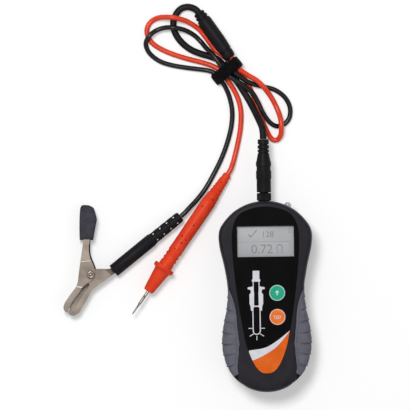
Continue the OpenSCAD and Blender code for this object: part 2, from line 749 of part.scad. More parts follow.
// The printed field and band at the label's foot, as shares of the label
band_shares = [
    [-0.541, -0.721], [-0.066, -0.69], [0.283, -0.614], [0.697, -0.486], [0.684, -0.496],
    [0.586, -0.547], [0.279, -0.683], [-0.07, -0.775], [-0.426, -0.842]
];
field_shares = [
    [-0.4, -0.862], [-0.07, -0.795], [0.279, -0.703], [0.586, -0.567], [0.6, -0.64],
    [0.5, -0.78], [0.34, -0.9], [0.18, -0.965], [0, -0.98], [-0.18, -0.965], [-0.33, -0.905]
];
print_t = 0.08;

module print_patch(shares) {
    translate([0, label_y, case_h - print_t])
        linear_extrude(2 * print_t)
            polygon([for (s = shares) [s[0] * label_w / 2, s[1] * label_len / 2]]);
}

module face_label() {
    difference() {
        union() {
            color("#0a0a0c")
                translate([0, 0, plate_top])
                    linear_extrude(label_t)
                        polygon(label_outline);
            color("#e0e0ea") print_patch(band_shares);
            color("#e66a1f") print_patch(field_shares);
        }
        block([window_w, window_h, label_t + 2 * over], [0, window_y, plate_top - over]);
        at_keys()
            translate([0, 0, plate_top - over])
                cylinder(h = label_t + 2 * over, r = key_r + key_hole_gap + fit / 2, $fn = turn_fn);
    }
}

module at_keys() {
    for (y = [green_key_y, orange_key_y])
        translate([key_x, y, 0])
            children();
}

module display_window() {
    color("#dfe6ea", 0.35)
        translate([0, window_y, ceiling_z + window_gap])
            soft_block(
                [window_w - 2 * fit, window_h - 2 * fit, case_h - ceiling_z - window_gap],
                window_corner);
}

module lcd_glass() {
    color("#b8b8ba")
        block([window_w + 2 * glass_margin, window_h + 2 * glass_margin, glass_t],
            [0, window_y, board_top + light_t]);
}

module lcd_light_box() {
    color("#e8e8e4")
        block([window_w + 2 * light_margin, window_h + 2 * light_margin, light_t - fit / 2],
            [0, window_y, board_top]);
}

module circuit_board() {
    color("#1f6b3a") difference() {
        union() {
            block([board_upper_w, board_top_y - board_step_y, board_t],
                [0, (board_top_y + board_step_y) / 2, board_z]);
            block([board_lower_w, board_step_y - board_low_y + over, board_t],
                [0, (board_step_y + board_low_y + over) / 2, board_z]);
        }
        at_board_screws()
            translate([0, 0, board_z - over])
                cylinder(h = board_t + 2 * over, r = board_screw_r + fit, $fn = turn_fn);
    }
}

module processor_chip() {
    color("#202022")
        block([chip_side, chip_side, chip_t], [chip_place[0], chip_place[1], board_z - chip_t]);
}

module measuring_shunt() {
    color("#d8d4c8")
        block(shunt_size, [shunt_place[0], shunt_place[1], board_z - shunt_size[2]]);
}

module buzzer() {
    color("#151516")
        translate([buzzer_place[0], buzzer_place[1], board_z - buzzer_h])
            difference() {
                cylinder(h = buzzer_h, r = buzzer_r, $fn = turn_fn);
                translate([0, 0, -over])
                    cylinder(h = buzzer_h / 4 + over, r = buzzer_r / 5, $fn = turn_fn);
            }
}

// A key with its flange under the face plate and its stem on the switch
key_foot = ceiling_z - seat - key_flange_t;
plunger_top = key_foot - plunger_drop;
module key_cap(y) {
    translate([key_x, y, 0]) {
        translate([0, 0, key_foot])
            rotate_extrude($fn = turn_fn)
                polygon([
                    [0, 0], [key_r + key_flange, 0], [key_r + key_flange, key_flange_t],
                    [key_r, key_flange_t], [key_r, case_h + key_rise - key_dome - key_foot],
                    [key_r - key_dome, case_h + key_rise - key_foot - key_dome / 2],
                    [key_r * 0.6, case_h + key_rise - key_foot], [0, case_h + key_rise - key_foot]
                ]);
        translate([0, 0, plunger_top + stem_gap])
            cylinder(h = key_foot - plunger_top - stem_gap + over, r = stem_r, $fn = turn_fn);
    }
}

module switch_body(y) {
    translate([key_x, y, board_top])
        difference() {
            block([switch_side, switch_side, switch_h]);
            translate([0, 0, switch_h / 6])
                cylinder(h = switch_h + over, r = plunger_r + plunger_fit, $fn = turn_fn);
        }
}

module plunger(y) {
    translate([key_x, y, plunger_top - plunger_h])
        cylinder(h = plunger_h, r = plunger_r, $fn = turn_fn);
}

module green_key() {
    color("#1fa583") key_cap(green_key_y);
}

module orange_key() {
    color("#e87424") key_cap(orange_key_y);
}

module green_switch() {
    color("#303034") switch_body(green_key_y);
}

module orange_switch() {
    color("#303034") switch_body(orange_key_y);
}

module green_plunger() {
    color("#d0d0d0") plunger(green_key_y);
}

module orange_plunger() {
    color("#d0d0d0") plunger(orange_key_y);
}

module battery() {
    color("#3c5c8c")
        translate([0, battery_y + battery_len - terminal_h, battery_z + battery_t / 2])
            rotate([90, 0, 0])
                soft_block([battery_w, battery_t, battery_len - terminal_h], battery_corner);
    color("#c8c8c8")
        for (x = [-1, 1])
            translate([x * contact_x, battery_y + battery_len - terminal_h - over, battery_z + battery_t / 2])
                along_y() cylinder(h = terminal_h + over, r = terminal_r, $fn = turn_fn);
}

// Two sprung blades that hang from the board onto the battery's terminals
module battery_contacts() {
    color("#c9b26a")
        for (x = [-1, 1])
            block([contact_w, contact_t, board_z - battery_z - battery_t / 2 + terminal_r], [
                x * contact_x, battery_y + battery_len + fit + contact_t / 2,
                battery_z + battery_t / 2 - terminal_r
            ]);
}

module battery_door() {
    color("#2b292e") {
        difference() {
            block([door_w, door_len, door_rim_h - fit - door_rise], [0, door_y, door_rise]);
            for (k = [-2 : 2])
                block([door_w / 3, groove_w, groove_d / 2 + over],
                    [0, door_y + door_len / 3 + k * 2 * groove_w, -over]);
        }
        block([door_w - 2 * door_step, door_len - 2 * door_step, door_t - door_rise],
            [0, door_y, door_rise]);
    }
}

module case_screws() {
    color("#b0b0b4")
        at_case_screws() {
            translate([0, 0, head_depth - screw_head_t])
                difference() {
                    cylinder(h = screw_head_t - fit, r = screw_head_r, $fn = turn_fn);
                    for (a = [0, 90])
                        rotate(a)
                            block([screw_head_r, screw_r / 2, screw_head_t / 2 + over], [0, 0, -over]);
                }
            translate([0, 0, head_depth - fit - over])
                cylinder(h = screw_top - head_depth + fit + over, r = screw_r, $fn = turn_fn);
        }
}

module board_screws() {
    color("#b0b0b4")
        at_board_screws() {
            translate([0, 0, board_z - fit - board_head_t])
                difference() {
                    cylinder(h = board_head_t, r = board_head_r, $fn = turn_fn);
                    for (a = [0, 90])
                        rotate(a)
                            block([board_head_r, board_screw_r / 2, board_head_t / 2 + over], [0, 0, -over]);
                }
            translate([0, 0, board_z - fit - board_head_t / 3])
                cylinder(h = ceiling_z - board_z - seat + board_head_t / 3, r = board_screw_r, $fn = turn_fn);
        }
}

module torch_led() {
    color("#eef2f4", 0.6)
        translate([led_x, led_tip_y - led_len, joint_z])
            along_y() {
                cylinder(h = led_len - led_r, r = led_r, $fn = turn_fn);
                cylinder(h = led_flange_t, r = led_r + led_flange, $fn = turn_fn);
                translate([0, 0, led_len - led_r])
                    sphere(r = led_r, $fn = turn_fn);
            }
    color("#c8c8c8")
        for (x = [-1, 1])
            translate([led_x + x * led_leg_x, led_leg_y, joint_z]) {
                along_y()
                    cylinder(
                        h = led_tip_y - led_len - led_leg_y + led_flange_t / 2, r = led_leg_r,
                        $fn = turn_fn);
                translate([0, led_leg_r, -led_leg_r])
                    cylinder(h = board_z - joint_z + led_leg_r, r = led_leg_r, $fn = turn_fn);
            }
}

// The socket's parts share one axis on the joint line
socket_y = half_len + collar_gap;
module at_socket(y) {
    translate([socket_x, y, joint_z])
        along_y() children();
}

module lead_socket() {
    color("#1a191c") at_socket(socket_y + collar_len - collar_lip - fit - barrel_len)
        difference() {
            cylinder(h = barrel_len, r = barrel_r, $fn = turn_fn);
            translate([0, 0, wall])
                cylinder(h = barrel_len, r = barrel_r - barrel_wall, $fn = turn_fn);
        }
}

module socket_nut() {
    color("#b0b0b4") at_socket(half_len - wall - nut_gap - nut_t)
        difference() {
            cylinder(h = nut_t, r = nut_r, $fn = 6);
            translate([0, 0, -over])
                cylinder(h = nut_t + 2 * over, r = barrel_r + run_fit, $fn = turn_fn);
        }
}

module socket_collar() {
    color("#1a191c") at_socket(socket_y)
        difference() {
            cylinder(h = collar_len, r = collar_r, $fn = turn_fn);
            translate([0, 0, -over])
                cylinder(h = collar_len - collar_lip + over, r = barrel_r + run_fit, $fn = turn_fn);
            translate([0, 0, -over])
                cylinder(h = collar_len + 2 * over, r = nose_r + fit, $fn = turn_fn);
            for (a = [0 : 30 : 330])
                rotate(a)
                    translate([collar_r, 0, -over])
                        cylinder(h = collar_len + 2 * over, r = knurl_r, $fn = turn_fn / 3);
        }
}

plug_y = socket_y + collar_len + plug_gap;
module lead_plug() {
    color("#161517") {
        at_socket(plug_y)
            turned(plug_shares, plug_r, plug_len);
        at_socket(plug_y - plug_nose)
            cylinder(h = plug_nose + over, r = nose_r, $fn = turn_fn);
    }
}

module plug_boot() {
    color("#161517") at_socket(plug_y + plug_len)
        turned(boot_shares, boot_r, boot_len);
}

// A tube along a route, as one closed skin
function route_tangents(p) = [
    for (i = [0 : len(p) - 1]) unit(p[min(i + 1, len(p) - 1)] - p[max(i - 1, 0)])
];
function tube_ring(p, t, r, sides) =
    let (s = unit(cross([0, 0, 1], t)), u = cross(t, s))
    [for (k = [0 : sides - 1]) p + r * (cos(360 * k / sides) * s + sin(360 * k / sides) * u)];
module tube(points, steps, r, sides) {
    line = open_curve(points, steps);
    ways = route_tangents(line);
    loft([for (i = [0 : len(line) - 1]) tube_ring(line[i], ways[i], r, sides)]);
}

// The least gap of a tube to itself, past one bend along it
function least_gap(points, steps, r) =
    let (line = open_curve(points, steps), skip = 4 * steps)
    min([
        for (i = [0 : len(line) - 1 - skip], j = [i + skip : len(line) - 1])
            norm(line[i] - line[j])
    ]) - 2 * r;

module main_cable() {
    color("#2b2a2b") tube(main_points, main_steps, main_r, main_sides);
}

module red_lead_loops() {
    echo(red_lead_least_gap = least_gap(red_loop_points, loop_steps, red_r));
    color("#e6482e") tube(red_loop_points, loop_steps, red_r, loop_sides);
}

module red_lead_tail() {
    color("#e6482e") tube(red_tail_points, tail_steps, red_r, tail_sides);
}

module black_lead_loops() {
    echo(black_lead_least_gap = least_gap(black_loop_points, loop_steps, black_r));
    color("#1a1820") tube(black_loop_points, loop_steps, black_r, loop_sides);
}

module black_lead_tail() {
    color("#1a1820") tube(black_tail_points, tail_steps, black_r, tail_sides);
}

module lead_splitter() {
    color("#1d1b1e")
        translate(splitter_end)
            rotate([0, -splitter_lean, splitter_turn])
                rotate([0, 90, 0])
                    turned(splitter_shares, splitter_r, splitter_len);
}

// The strap's band, with its loose end pressed down on top
module bundle_strap() {
    out_w = strap_in_w + 2 * strap_t;
    out_h = strap_in_h + 2 * strap_t;
    color("#0c0c0c")
        translate([strap_place[0], strap_place[1], 0])
            rotate(strap_turn) {
                translate([0, strap_w / 2, out_h / 2])
                    rotate([90, 0, 0])
                        difference() {
                            soft_block([out_w, out_h, strap_w], strap_corner + strap_t);
                            translate([0, 0, -over])
                                soft_block([strap_in_w, strap_in_h, strap_w + 2 * over], strap_corner);
                        }
                block([tab_len, tab_w, tab_t + strap_t / 2], [out_w / 4, 0, out_h - strap_t / 2]);
            }
}

module at_clip() {
    translate(clip_place)
        rotate(clip_turn)
            children();
}

// A folded channel: two plates joined by a web along one side
module channel(shares, h, side) {
    points = [for (s = shares) s * jaw_len];
    difference() {
        translate([0, 0, -h / 2])
            union() {
                linear_extrude(h)
                    polygon(points);
                cylinder(h = h, r = disc_r, $fn = turn_fn);
            }
        translate([-web_shift_shares[0] * sheet_t, -side * web_shift_shares[1] * sheet_t, -h / 2 + sheet_t])
            linear_extrude(h - 2 * sheet_t)
                polygon(points);
        translate([0, 0, -h / 2 + sheet_t])
            cylinder(h = h - 2 * sheet_t, r = disc_r + over, $fn = turn_fn);
        translate([0, 0, -h / 2 - over])
            cylinder(h = h + 2 * over, r = rivet_r + run_fit, $fn = turn_fn);
    }
}

inner_h = channel_h - 2 * sheet_t - 2 * plate_gap;
module clip_fixed_jaw() {
    color("#a09488") at_clip()
        intersection() {
            channel(fixed_shares, inner_h, 1);
            fixed_tongue_limit();
        }
}

// The fixed half narrows to fit inside its sleeve
module fixed_tongue_limit() {
    translate([-sleeve_r, -jaw_len, -inner_h])
        cube([2 * jaw_len, 2 * jaw_len, 2 * inner_h]);
    translate([sleeve_place[0], sleeve_place[1], 0])
        rotate(sleeve_turn)
            translate([-sleeve_r * 2, -sleeve_r, -tongue_h / 2])
                cube([sleeve_r * 6, 2 * sleeve_r, tongue_h]);
}

module clip_moving_jaw() {
    color("#a09488") at_clip() channel(moving_shares, channel_h, -1);
}

module clip_rivet() {
    color("#c4bcb0") at_clip() {
        translate([0, 0, -channel_h / 2 - fit])
            cylinder(h = channel_h + 2 * fit, r = rivet_r, $fn = turn_fn);
        for (s = [0, 1])
            mirror([0, 0, s])
                translate([0, 0, channel_h / 2 + fit])
                    cylinder(h = rivet_head_t, r = rivet_r + rivet_head, $fn = turn_fn);
    }
}

// A torsion spring round the rivet, its legs on the two webs
spring_turn_end = spring_turn_start + spring_turn_over + 360 * coils;
spring_steps = coil_rings * coils + 2;
function coil_point(a, z) = [coil_r * cos(a), coil_r * sin(a), z];
function coil_way(a) = [-sin(a), cos(a), 0];
spring_line = concat(
    [coil_point(spring_turn_start, -spring_half_h) - spring_leg_moving * coil_way(spring_turn_start)],
    [coil_point(spring_turn_start, -spring_half_h) - spring_leg_moving / 2 * coil_way(spring_turn_start)],
    [
        for (k = [0 : spring_steps])
            coil_point(
                spring_turn_start + (spring_turn_end - spring_turn_start) * k / spring_steps,
                -spring_half_h + 2 * spring_half_h * k / spring_steps)
    ],
    [coil_point(spring_turn_end, spring_half_h) + spring_leg_fixed / 2 * coil_way(spring_turn_end)],
    [coil_point(spring_turn_end, spring_half_h) + spring_leg_fixed * coil_way(spring_turn_end)]
);
spring_least_gap = min([
    for (i = [0 : len(spring_line) - coil_rings], j = [i + coil_rings - 1 : len(spring_line) - 1])
        norm(spring_line[i] - spring_line[j])
]) - 2 * wire_r;

module clip_spring() {
    echo(spring_least_gap = spring_least_gap);
    ways = route_tangents(spring_line);
    color("#8c8c90") at_clip()
        loft([for (i = [0 : len(spring_line) - 1]) tube_ring(spring_line[i], ways[i], wire_r, loop_sides)]);
}

// The rubber grip on the moving lever, with a slot for the lever
module clip_thumb_grip() {
    color("#45434b") at_clip()
        difference() {
            translate([thumb_place[0], thumb_place[1], 0])
                rotate(thumb_turn)
                    hull() {
                        translate([0, 0, -thumb_h / 2 + thumb_round])
                            linear_extrude(thumb_h - 2 * thumb_round)
                                thumb_outline(1);
                        translate([0, 0, -thumb_h / 2])
                            linear_extrude(thumb_h)
                                thumb_outline(0.9);
                    }
            translate([0, 0, -channel_h / 2 - fit])
                linear_extrude(channel_h + 2 * fit)
                    polygon([for (s = moving_shares) s * jaw_len]);
        }
}

module thumb_outline(share) {
    polygon([
        for (s = thumb_shares)
            [s[0] * thumb_len * (s[0] > 0.5 ? (1 + share) / 2 : 1), s[1] * thumb_w * share]
    ]);
}

module clip_sleeve() {
    color("#1d1a1f") at_clip()
        translate([sleeve_place[0], sleeve_place[1], 0])
            rotate(sleeve_turn)
                rotate([0, 90, 0])
                    difference() {
                        turned(sleeve_shares, sleeve_r, sleeve_len);
                        translate([0, 0, -over])
                            cylinder(h = sleeve_bore_len + over, r = sleeve_bore_r, $fn = turn_fn);
                        for (k = [0 : slot_rows - 1], s = [-1, 1])
                            translate([
                                -slot_long / 2, s * sleeve_r * slot_out_share - (s > 0 ? 0 : sleeve_r),
                                sleeve_len * (slot_first_share + k * slot_step_share)
                            ])
                                cube([slot_long, sleeve_r, slot_w]);
                    }
}

module at_probe(share) {
    translate(probe_place)
        rotate([0, -probe_lean, probe_turn])
            rotate([0, 90, 0])
                translate([0, 0, share * probe_len])
                    children();
}

module probe_handle() {
    color("#e6482e") at_probe(0)
        difference() {
            turned(handle_shares, probe_r, handle_share * probe_len);
            translate([0, 0, -over])
                cylinder(h = handle_bore_len + over, r = red_r + fit, $fn = turn_fn);
        }
}

module probe_nose() {
    color("#e6482e") at_probe(handle_share)
        difference() {
            turned(nose_shares, guard_r, (nose_share - handle_share) * probe_len);
            translate([0, 0, (nose_share - handle_share) * probe_len - needle_hold])
                cylinder(h = needle_hold + over, r = needle_r + probe_fit, $fn = turn_fn);
        }
}

module probe_needle() {
    color("#a8a4a0") at_probe(nose_share)
        translate([0, 0, -needle_hold + fit])
            turned(needle_shares, needle_r, (1 - nose_share) * probe_len + needle_hold - fit);
}

back_shell();
front_shell();
right_grip();
left_grip();
face_label();
display_window();
lcd_glass();
lcd_light_box();
circuit_board();
processor_chip();
measuring_shunt();
buzzer();
green_key();
orange_key();
green_switch();
orange_switch();
green_plunger();
orange_plunger();
battery();
battery_contacts();
battery_door();
case_screws();
board_screws();
torch_led();
lead_socket();
socket_nut();
socket_collar();
lead_plug();
plug_boot();
main_cable();
lead_splitter();
bundle_strap();
red_lead_loops();
red_lead_tail();
black_lead_loops();
black_lead_tail();
clip_fixed_jaw();
clip_moving_jaw();
clip_rivet();
clip_spring();
clip_thumb_grip();
clip_sleeve();
probe_handle();
probe_nose();
probe_needle();
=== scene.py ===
# Glow plug tester with its lead set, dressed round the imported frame
import math
import bpy
import bmesh
from mathutils import Matrix, Vector


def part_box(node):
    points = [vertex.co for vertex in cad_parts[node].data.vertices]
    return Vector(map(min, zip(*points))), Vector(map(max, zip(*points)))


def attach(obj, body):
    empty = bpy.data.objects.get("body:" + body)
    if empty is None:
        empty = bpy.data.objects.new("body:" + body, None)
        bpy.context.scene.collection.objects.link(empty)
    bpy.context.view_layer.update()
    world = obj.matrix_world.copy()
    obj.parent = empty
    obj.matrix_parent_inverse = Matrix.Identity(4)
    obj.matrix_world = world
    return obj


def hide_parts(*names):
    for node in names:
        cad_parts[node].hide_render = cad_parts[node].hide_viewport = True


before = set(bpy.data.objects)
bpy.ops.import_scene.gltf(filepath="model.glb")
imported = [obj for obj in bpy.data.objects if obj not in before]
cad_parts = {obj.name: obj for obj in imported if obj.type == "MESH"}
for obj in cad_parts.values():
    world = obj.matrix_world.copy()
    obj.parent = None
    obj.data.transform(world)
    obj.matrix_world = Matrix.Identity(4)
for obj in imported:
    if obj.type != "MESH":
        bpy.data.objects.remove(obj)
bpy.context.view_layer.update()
mm = 0.001
print("stage: frame loaded")


# small tools
def linked(item):
    bpy.context.scene.collection.objects.link(item)
    return item


def toLinear(hexText):
    # sRGB hex to the linear colour that a shader takes
    parts = [int(hexText[i:i + 2], 16) / 255 for i in (1, 3, 5)]
    return [c / 12.92 if c <= 0.04045 else ((c + 0.055) / 1.055) ** 2.4 for c in parts] + [1.0]


def addNode(tree, kind, settings=None, links=None):
    node = tree.nodes.new(kind)
    for key, value in (settings or {}).items():
        if isinstance(key, str) and hasattr(node, key):
            setattr(node, key, value)
        else:
            node.inputs[key].default_value = value
    for key, source in (links or {}).items():
        tree.links.new(source, node.inputs[key])
    return node


def emptyTree(owner):
    owner.use_nodes = True
    owner.node_tree.nodes.clear()
    return owner.node_tree


def smoothLine(points, steps, closed=False):
    # a smooth curve through every point
    count = len(points)
    points = [Vector(p) for p in points]
    spans = count if closed else count - 1
    line = []
    for i in range(spans):
        b, c = points[i], points[(i + 1) % count]
        a = points[i - 1] if closed or i > 0 else 2 * b - c
        d = points[(i + 2) % count] if closed or i < count - 2 else 2 * c - b
        for k in range(steps):
            t = k / steps
            line.append(0.5 * (2 * b + (c - a) * t + (2 * a - 5 * b + 4 * c - d) * t * t
                               + (3 * b - a - 3 * c + d) * t ** 3))
    if not closed:
        line.append(points[-1])
    return line


def wayAlong(line, i, closed=False):
    # which way a line runs at one of its points
    if closed:
        return (line[(i + 1) % len(line)] - line[i - 1]).normalized()
    return (line[min(i + 1, len(line) - 1)] - line[max(i - 1, 0)]).normalized()


def wayRight(way):
    return Vector((way[1], -way[0]))


def wayOf(turn, lean):
    # a direction from its turn round Z and its lean up, in degrees
    turn, lean = math.radians(turn), math.radians(lean)
    return Vector((math.cos(turn) * math.cos(lean), math.sin(turn) * math.cos(lean), math.sin(lean)))


def arcPoints(x, y, wide, high, start=0, sweep=360, steps=20):
    # points on an ellipse from a starting angle on, in degrees
    turns = [math.radians(start + sweep * k / steps) for k in range(steps + 1)]
    return [(x + wide * math.cos(turn), y + high * math.sin(turn)) for turn in turns]


def ringPoints(x, y, radius, steps=40):
    return arcPoints(x, y, radius, radius, steps=steps)[:-1]


def scaled(shares, wide, high):
    return [(a * wide, b * high) for a, b in shares]


def stepped(pairs, x):
    # a value between pairs of a place and a value
    if x <= pairs[0][0]:
        return pairs[0][1]
    for (a, va), (b, vb) in zip(pairs, pairs[1:]):
        if x <= b:
            return va + (vb - va) * (x - a) / (b - a)
    return pairs[-1][1]


def softened(values, reach):
    # each value becomes the mean of those within reach, round the whole outline
    count, near = len(values), range(-reach, reach + 1)
    return [sum(values[(i + k) % count] for k in near) / len(near) for i in range(count)]


def drawLoop(bm, ring, closed=True):
    verts = [bm.verts.new(p) for p in ring]
    ends = zip(verts, verts[1:] + verts[:1]) if closed else zip(verts, verts[1:])
    return verts, [bm.edges.new(pair) for pair in ends]


def extrudeTo(bm, verts, edges, ring):
    # extrudes a loop and sets its new points on the next ring
    made = bmesh.ops.extrude_edge_only(bm, edges=edges)["geom"]
    fresh = {g for g in made if isinstance(g, bmesh.types.BMVert)}
    following = []
    for v, place in zip(verts, ring):
        w = next(e.other_vert(v) for e in v.link_edges if e.other_vert(v) in fresh)
        w.co = place
        following.append(w)
    pairs = list(zip(following, following[1:]))
    if len(edges) == len(verts):
        pairs.append((following[-1], following[0]))
    return following, [bm.edges.get(pair) for pair in pairs]


def loft(bm, rings, closed=True, caps=(True, True)):
    verts, edges = drawLoop(bm, rings[0], closed)
    first, firstEdges = verts, edges
    for ring in rings[1:]:
        verts, edges = extrudeTo(bm, verts, edges, ring)
    if caps[0]:
        bm.faces.new(first)
    if caps[1]:
        bm.faces.new(list(reversed(verts)))
    return firstEdges, edges


def spinShape(bm, profile, steps=48):
    # turns a profile of (radius, height) round Z
    verts, edges = drawLoop(bm, [(r, 0, z) for r, z in profile], closed=False)
    bmesh.ops.spin(bm, geom=verts + edges, cent=(0, 0, 0), axis=(0, 0, 1), angle=2 * math.pi, steps=steps,
                   use_merge=True, use_duplicate=False)


def placeAlong(bm, start, towards, verts=None):
    # lays a shape that stands on the origin along a direction
    turn = Vector(towards).to_track_quat("Z", "Y").to_matrix().to_4x4()
    bmesh.ops.transform(bm, matrix=Matrix.Translation(start) @ turn, verts=verts or bm.verts)


def turnAndPlace(bm, turn, place, axis="Z"):
    matrix = Matrix.Rotation(math.radians(turn), 3, axis)
    bmesh.ops.rotate(bm, cent=(0, 0, 0), matrix=matrix, verts=bm.verts)
    bmesh.ops.translate(bm, vec=place, verts=bm.verts)


def sliceAt(bm, place, way):
    # a cut that leaves both sides joined, so that the points along it can be moved
    bmesh.ops.bisect_plane(bm, geom=bm.verts[:] + bm.edges[:] + bm.faces[:], plane_co=place, plane_no=way)


def roundedBlock(bm, size, centre, radius=0.4, segments=3):
    made = bmesh.ops.create_cube(bm, size=1)["verts"]
    bmesh.ops.scale(bm, vec=size, verts=made)
    bmesh.ops.translate(bm, vec=centre, verts=made)
    edges = list(dict.fromkeys(e for v in made for e in v.link_edges))
    bmesh.ops.bevel(bm, geom=edges, offset=radius, segments=segments, affect="EDGES", profile=0.5, material=-1)


def boxOf(node):
    # the corners of a solid in millimetres
    return [Vector(corner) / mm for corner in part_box(node)]


def cutAway(bm, cuts):
    # the first shape less the second
    made = []
    for name, shape in (("whole", bm), ("cuts", cuts)):
        bmesh.ops.recalc_face_normals(shape, faces=shape.faces)
        mesh = bpy.data.meshes.new(name)
        shape.to_mesh(mesh)
        shape.free()
        made.append(linked(bpy.data.objects.new(name, mesh)))
    less = made[0].modifiers.new("less", "BOOLEAN")
    less.object, less.solver = made[1], "EXACT"
    bpy.context.view_layer.update()
    result = bmesh.new()
    result.from_mesh(made[0].evaluated_get(bpy.context.evaluated_depsgraph_get()).to_mesh())
    for item in made:
        bpy.data.meshes.remove(item.data)
    return result


def makePiece(name, bm, material, body="tester", stands=(), sharp=35, merge=0.002):
    # the mesh is drawn in millimetres and closed before it is scaled
    if merge:
        bmesh.ops.remove_doubles(bm, verts=bm.verts, dist=merge)
    bmesh.ops.recalc_face_normals(bm, faces=bm.faces)
    bmesh.ops.scale(bm, vec=(mm, mm, mm), verts=bm.verts)
    mesh = bpy.data.meshes.new(name)
    bm.to_mesh(mesh)
    bm.free()
    for face in mesh.polygons:
        face.use_smooth = True
    mesh.set_sharp_from_angle(angle=math.radians(sharp))
    mesh.materials.append(material)
    piece = linked(bpy.data.objects.new(name, mesh))
    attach(piece, body)
    if stands:
        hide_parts(*stands)
    return piece


# camera
cameraSetup = {"target": (-43.8, 67.6, 0), "height": 7524, "turn": -0.84, "lens": 900, "sensor": 36,
               "farClip": 50}


def addCamera(setup):
    camera = linked(bpy.data.objects.new("photoCamera", bpy.data.cameras.new("photoCamera")))
    camera.data.lens = setup["lens"]
    camera.data.sensor_width = setup["sensor"]
    camera.data.clip_end = setup["farClip"]
    x, y, z = setup["target"]
    camera.location = (x * mm, y * mm, (z + setup["height"]) * mm)
    camera.rotation_euler = (0, 0, math.radians(setup["turn"]))
    bpy.context.scene.camera = camera


addCamera(cameraSetup)


# materials
noiseSetup = {"details": (3.0, 2.0), "stops": (0.35, 0.68)}


def makeMaterial(name, shades, sizes, roughness, bump, shader=None):
    # a colour that drifts with its gloss between two shades, over a fine grain: the sizes are those of the
    # drift and the grain, and the bump is the grain's strength and depth, all in millimetres
    material = bpy.data.materials.new(name)
    tree = emptyTree(material)
    place = addNode(tree, "ShaderNodeTexCoord").outputs["Object"]
    drift, grain = [addNode(tree, "ShaderNodeTexNoise", {"Scale": 1 / (size * mm), "Detail": detail},
                            {"Vector": place}).outputs["Fac"]
                    for size, detail in zip(sizes, noiseSetup["details"])]
    shade = addNode(tree, "ShaderNodeValToRGB", {}, {"Fac": drift})
    for stop, position, colour in zip(shade.color_ramp.elements, noiseSetup["stops"], shades):
        stop.position = position
        stop.color = toLinear(colour)
    low, high = roughness
    gloss = addNode(tree, "ShaderNodeMapRange", {"To Min": low, "To Max": high}, {"Value": drift})
    strength, depth = bump
    rough = addNode(tree, "ShaderNodeBump", {"Strength": strength, "Distance": depth * mm}, {"Height": grain})
    surface = addNode(tree, "ShaderNodeBsdfPrincipled", shader or {"Specular IOR Level": 0.08},
                      {"Base Color": shade.outputs["Color"], "Roughness": gloss.outputs["Result"],
                       "Normal": rough.outputs["Normal"]})
    addNode(tree, "ShaderNodeOutputMaterial", {}, {"Surface": surface.outputs["BSDF"]})
    return material


metal = {"Metallic": 1.0}
# moulded ABS with a fine spark-eroded grain: it breaks the highlight into a soft satin
caseAbs = makeMaterial("mouldedAbsBlack", ("#1c1a1f", "#242228"), (9, 0.45), (0.38, 0.5), (0.25, 0.05))
# overmoulded thermoplastic rubber: matt, with a slight bloom
gripRubber = makeMaterial("overmouldedGripRubber", ("#5c5c67", "#686873"), (6, 0.35), (0.55, 0.7), (0.3, 0.05))
# polycarbonate label printed on its back: a deep even gloss
labelGloss = makeMaterial("polycarbonateLabel", ("#030304", "#060608"), (14, 2.5), (0.2, 0.28), (0.03, 0.03),
                          {"Specular IOR Level": 0.04})
printWhite = makeMaterial("screenPrintWhite", ("#cfcdd4", "#dad9e0"), (5, 0.5), (0.3, 0.4), (0.05, 0.02))
printOrange = makeMaterial("screenPrintOrange", ("#d65c14", "#e0681e"), (7, 0.5), (0.3, 0.4), (0.05, 0.02))
keyGreen = makeMaterial("siliconeKeyGreen", ("#1a9c7a", "#22aa86"), (4, 0.4), (0.36, 0.46), (0.12, 0.03))
keyOrange = makeMaterial("siliconeKeyOrange", ("#e26c1e", "#ee7a2a"), (4, 0.4), (0.36, 0.46), (0.12, 0.03))
# liquid crystal glass over a grey reflector
displayGlass = makeMaterial("liquidCrystalGrey", ("#9c9c9f", "#aaaaad"), (30, 0.6), (0.3, 0.36), (0.04, 0.02))
displayInk = makeMaterial("liquidCrystalDark", ("#66666a", "#747478"), (4, 0.5), (0.35, 0.4), (0.04, 0.02))
# soft PVC cable jackets: a dull sheen with faint drag marks
cableGrey = makeMaterial("pvcCableGrey", ("#141415", "#1e1e1f"), (7, 0.5), (0.36, 0.5), (0.18, 0.04))
leadRed = makeMaterial("pvcLeadRed", ("#d93a1d", "#e54526"), (8, 0.5), (0.24, 0.34), (0.1, 0.03),
                       {"Specular IOR Level": 0.25})
leadBlack = makeMaterial("pvcLeadBlack", ("#070608", "#0d0c0f"), (8, 0.5), (0.2, 0.3), (0.1, 0.03),
                         {"Specular IOR Level": 0.22})
plugBlack = makeMaterial("mouldedPlugBlack", ("#0f0e10", "#171618"), (5, 0.35), (0.4, 0.52), (0.25, 0.05))
sleeveBlack = makeMaterial("softSleeveBlack", ("#121013", "#19171b"), (6, 0.4), (0.42, 0.56), (0.25, 0.05))
thumbRubber = makeMaterial("dippedThumbRubber", ("#36343c", "#424048"), (5, 0.6), (0.5, 0.66), (0.35, 0.08))
probeAbs = makeMaterial("mouldedProbeRed", ("#dc3c1f", "#e84828"), (8, 0.4), (0.3, 0.42), (0.15, 0.04))
pitRed = makeMaterial("shadedPitRed", ("#4c0f08", "#5c140c"), (2, 0.3), (0.5, 0.6), (0.1, 0.02))
# nickel over pressed steel: a warm, slightly hazed mirror with drawing marks along the sheet
clipNickel = makeMaterial("nickelPlatedSteel", ("#5c534d", "#746b62"), (16, 0.9), (0.26, 0.36), (0.08, 0.03),
                          metal)
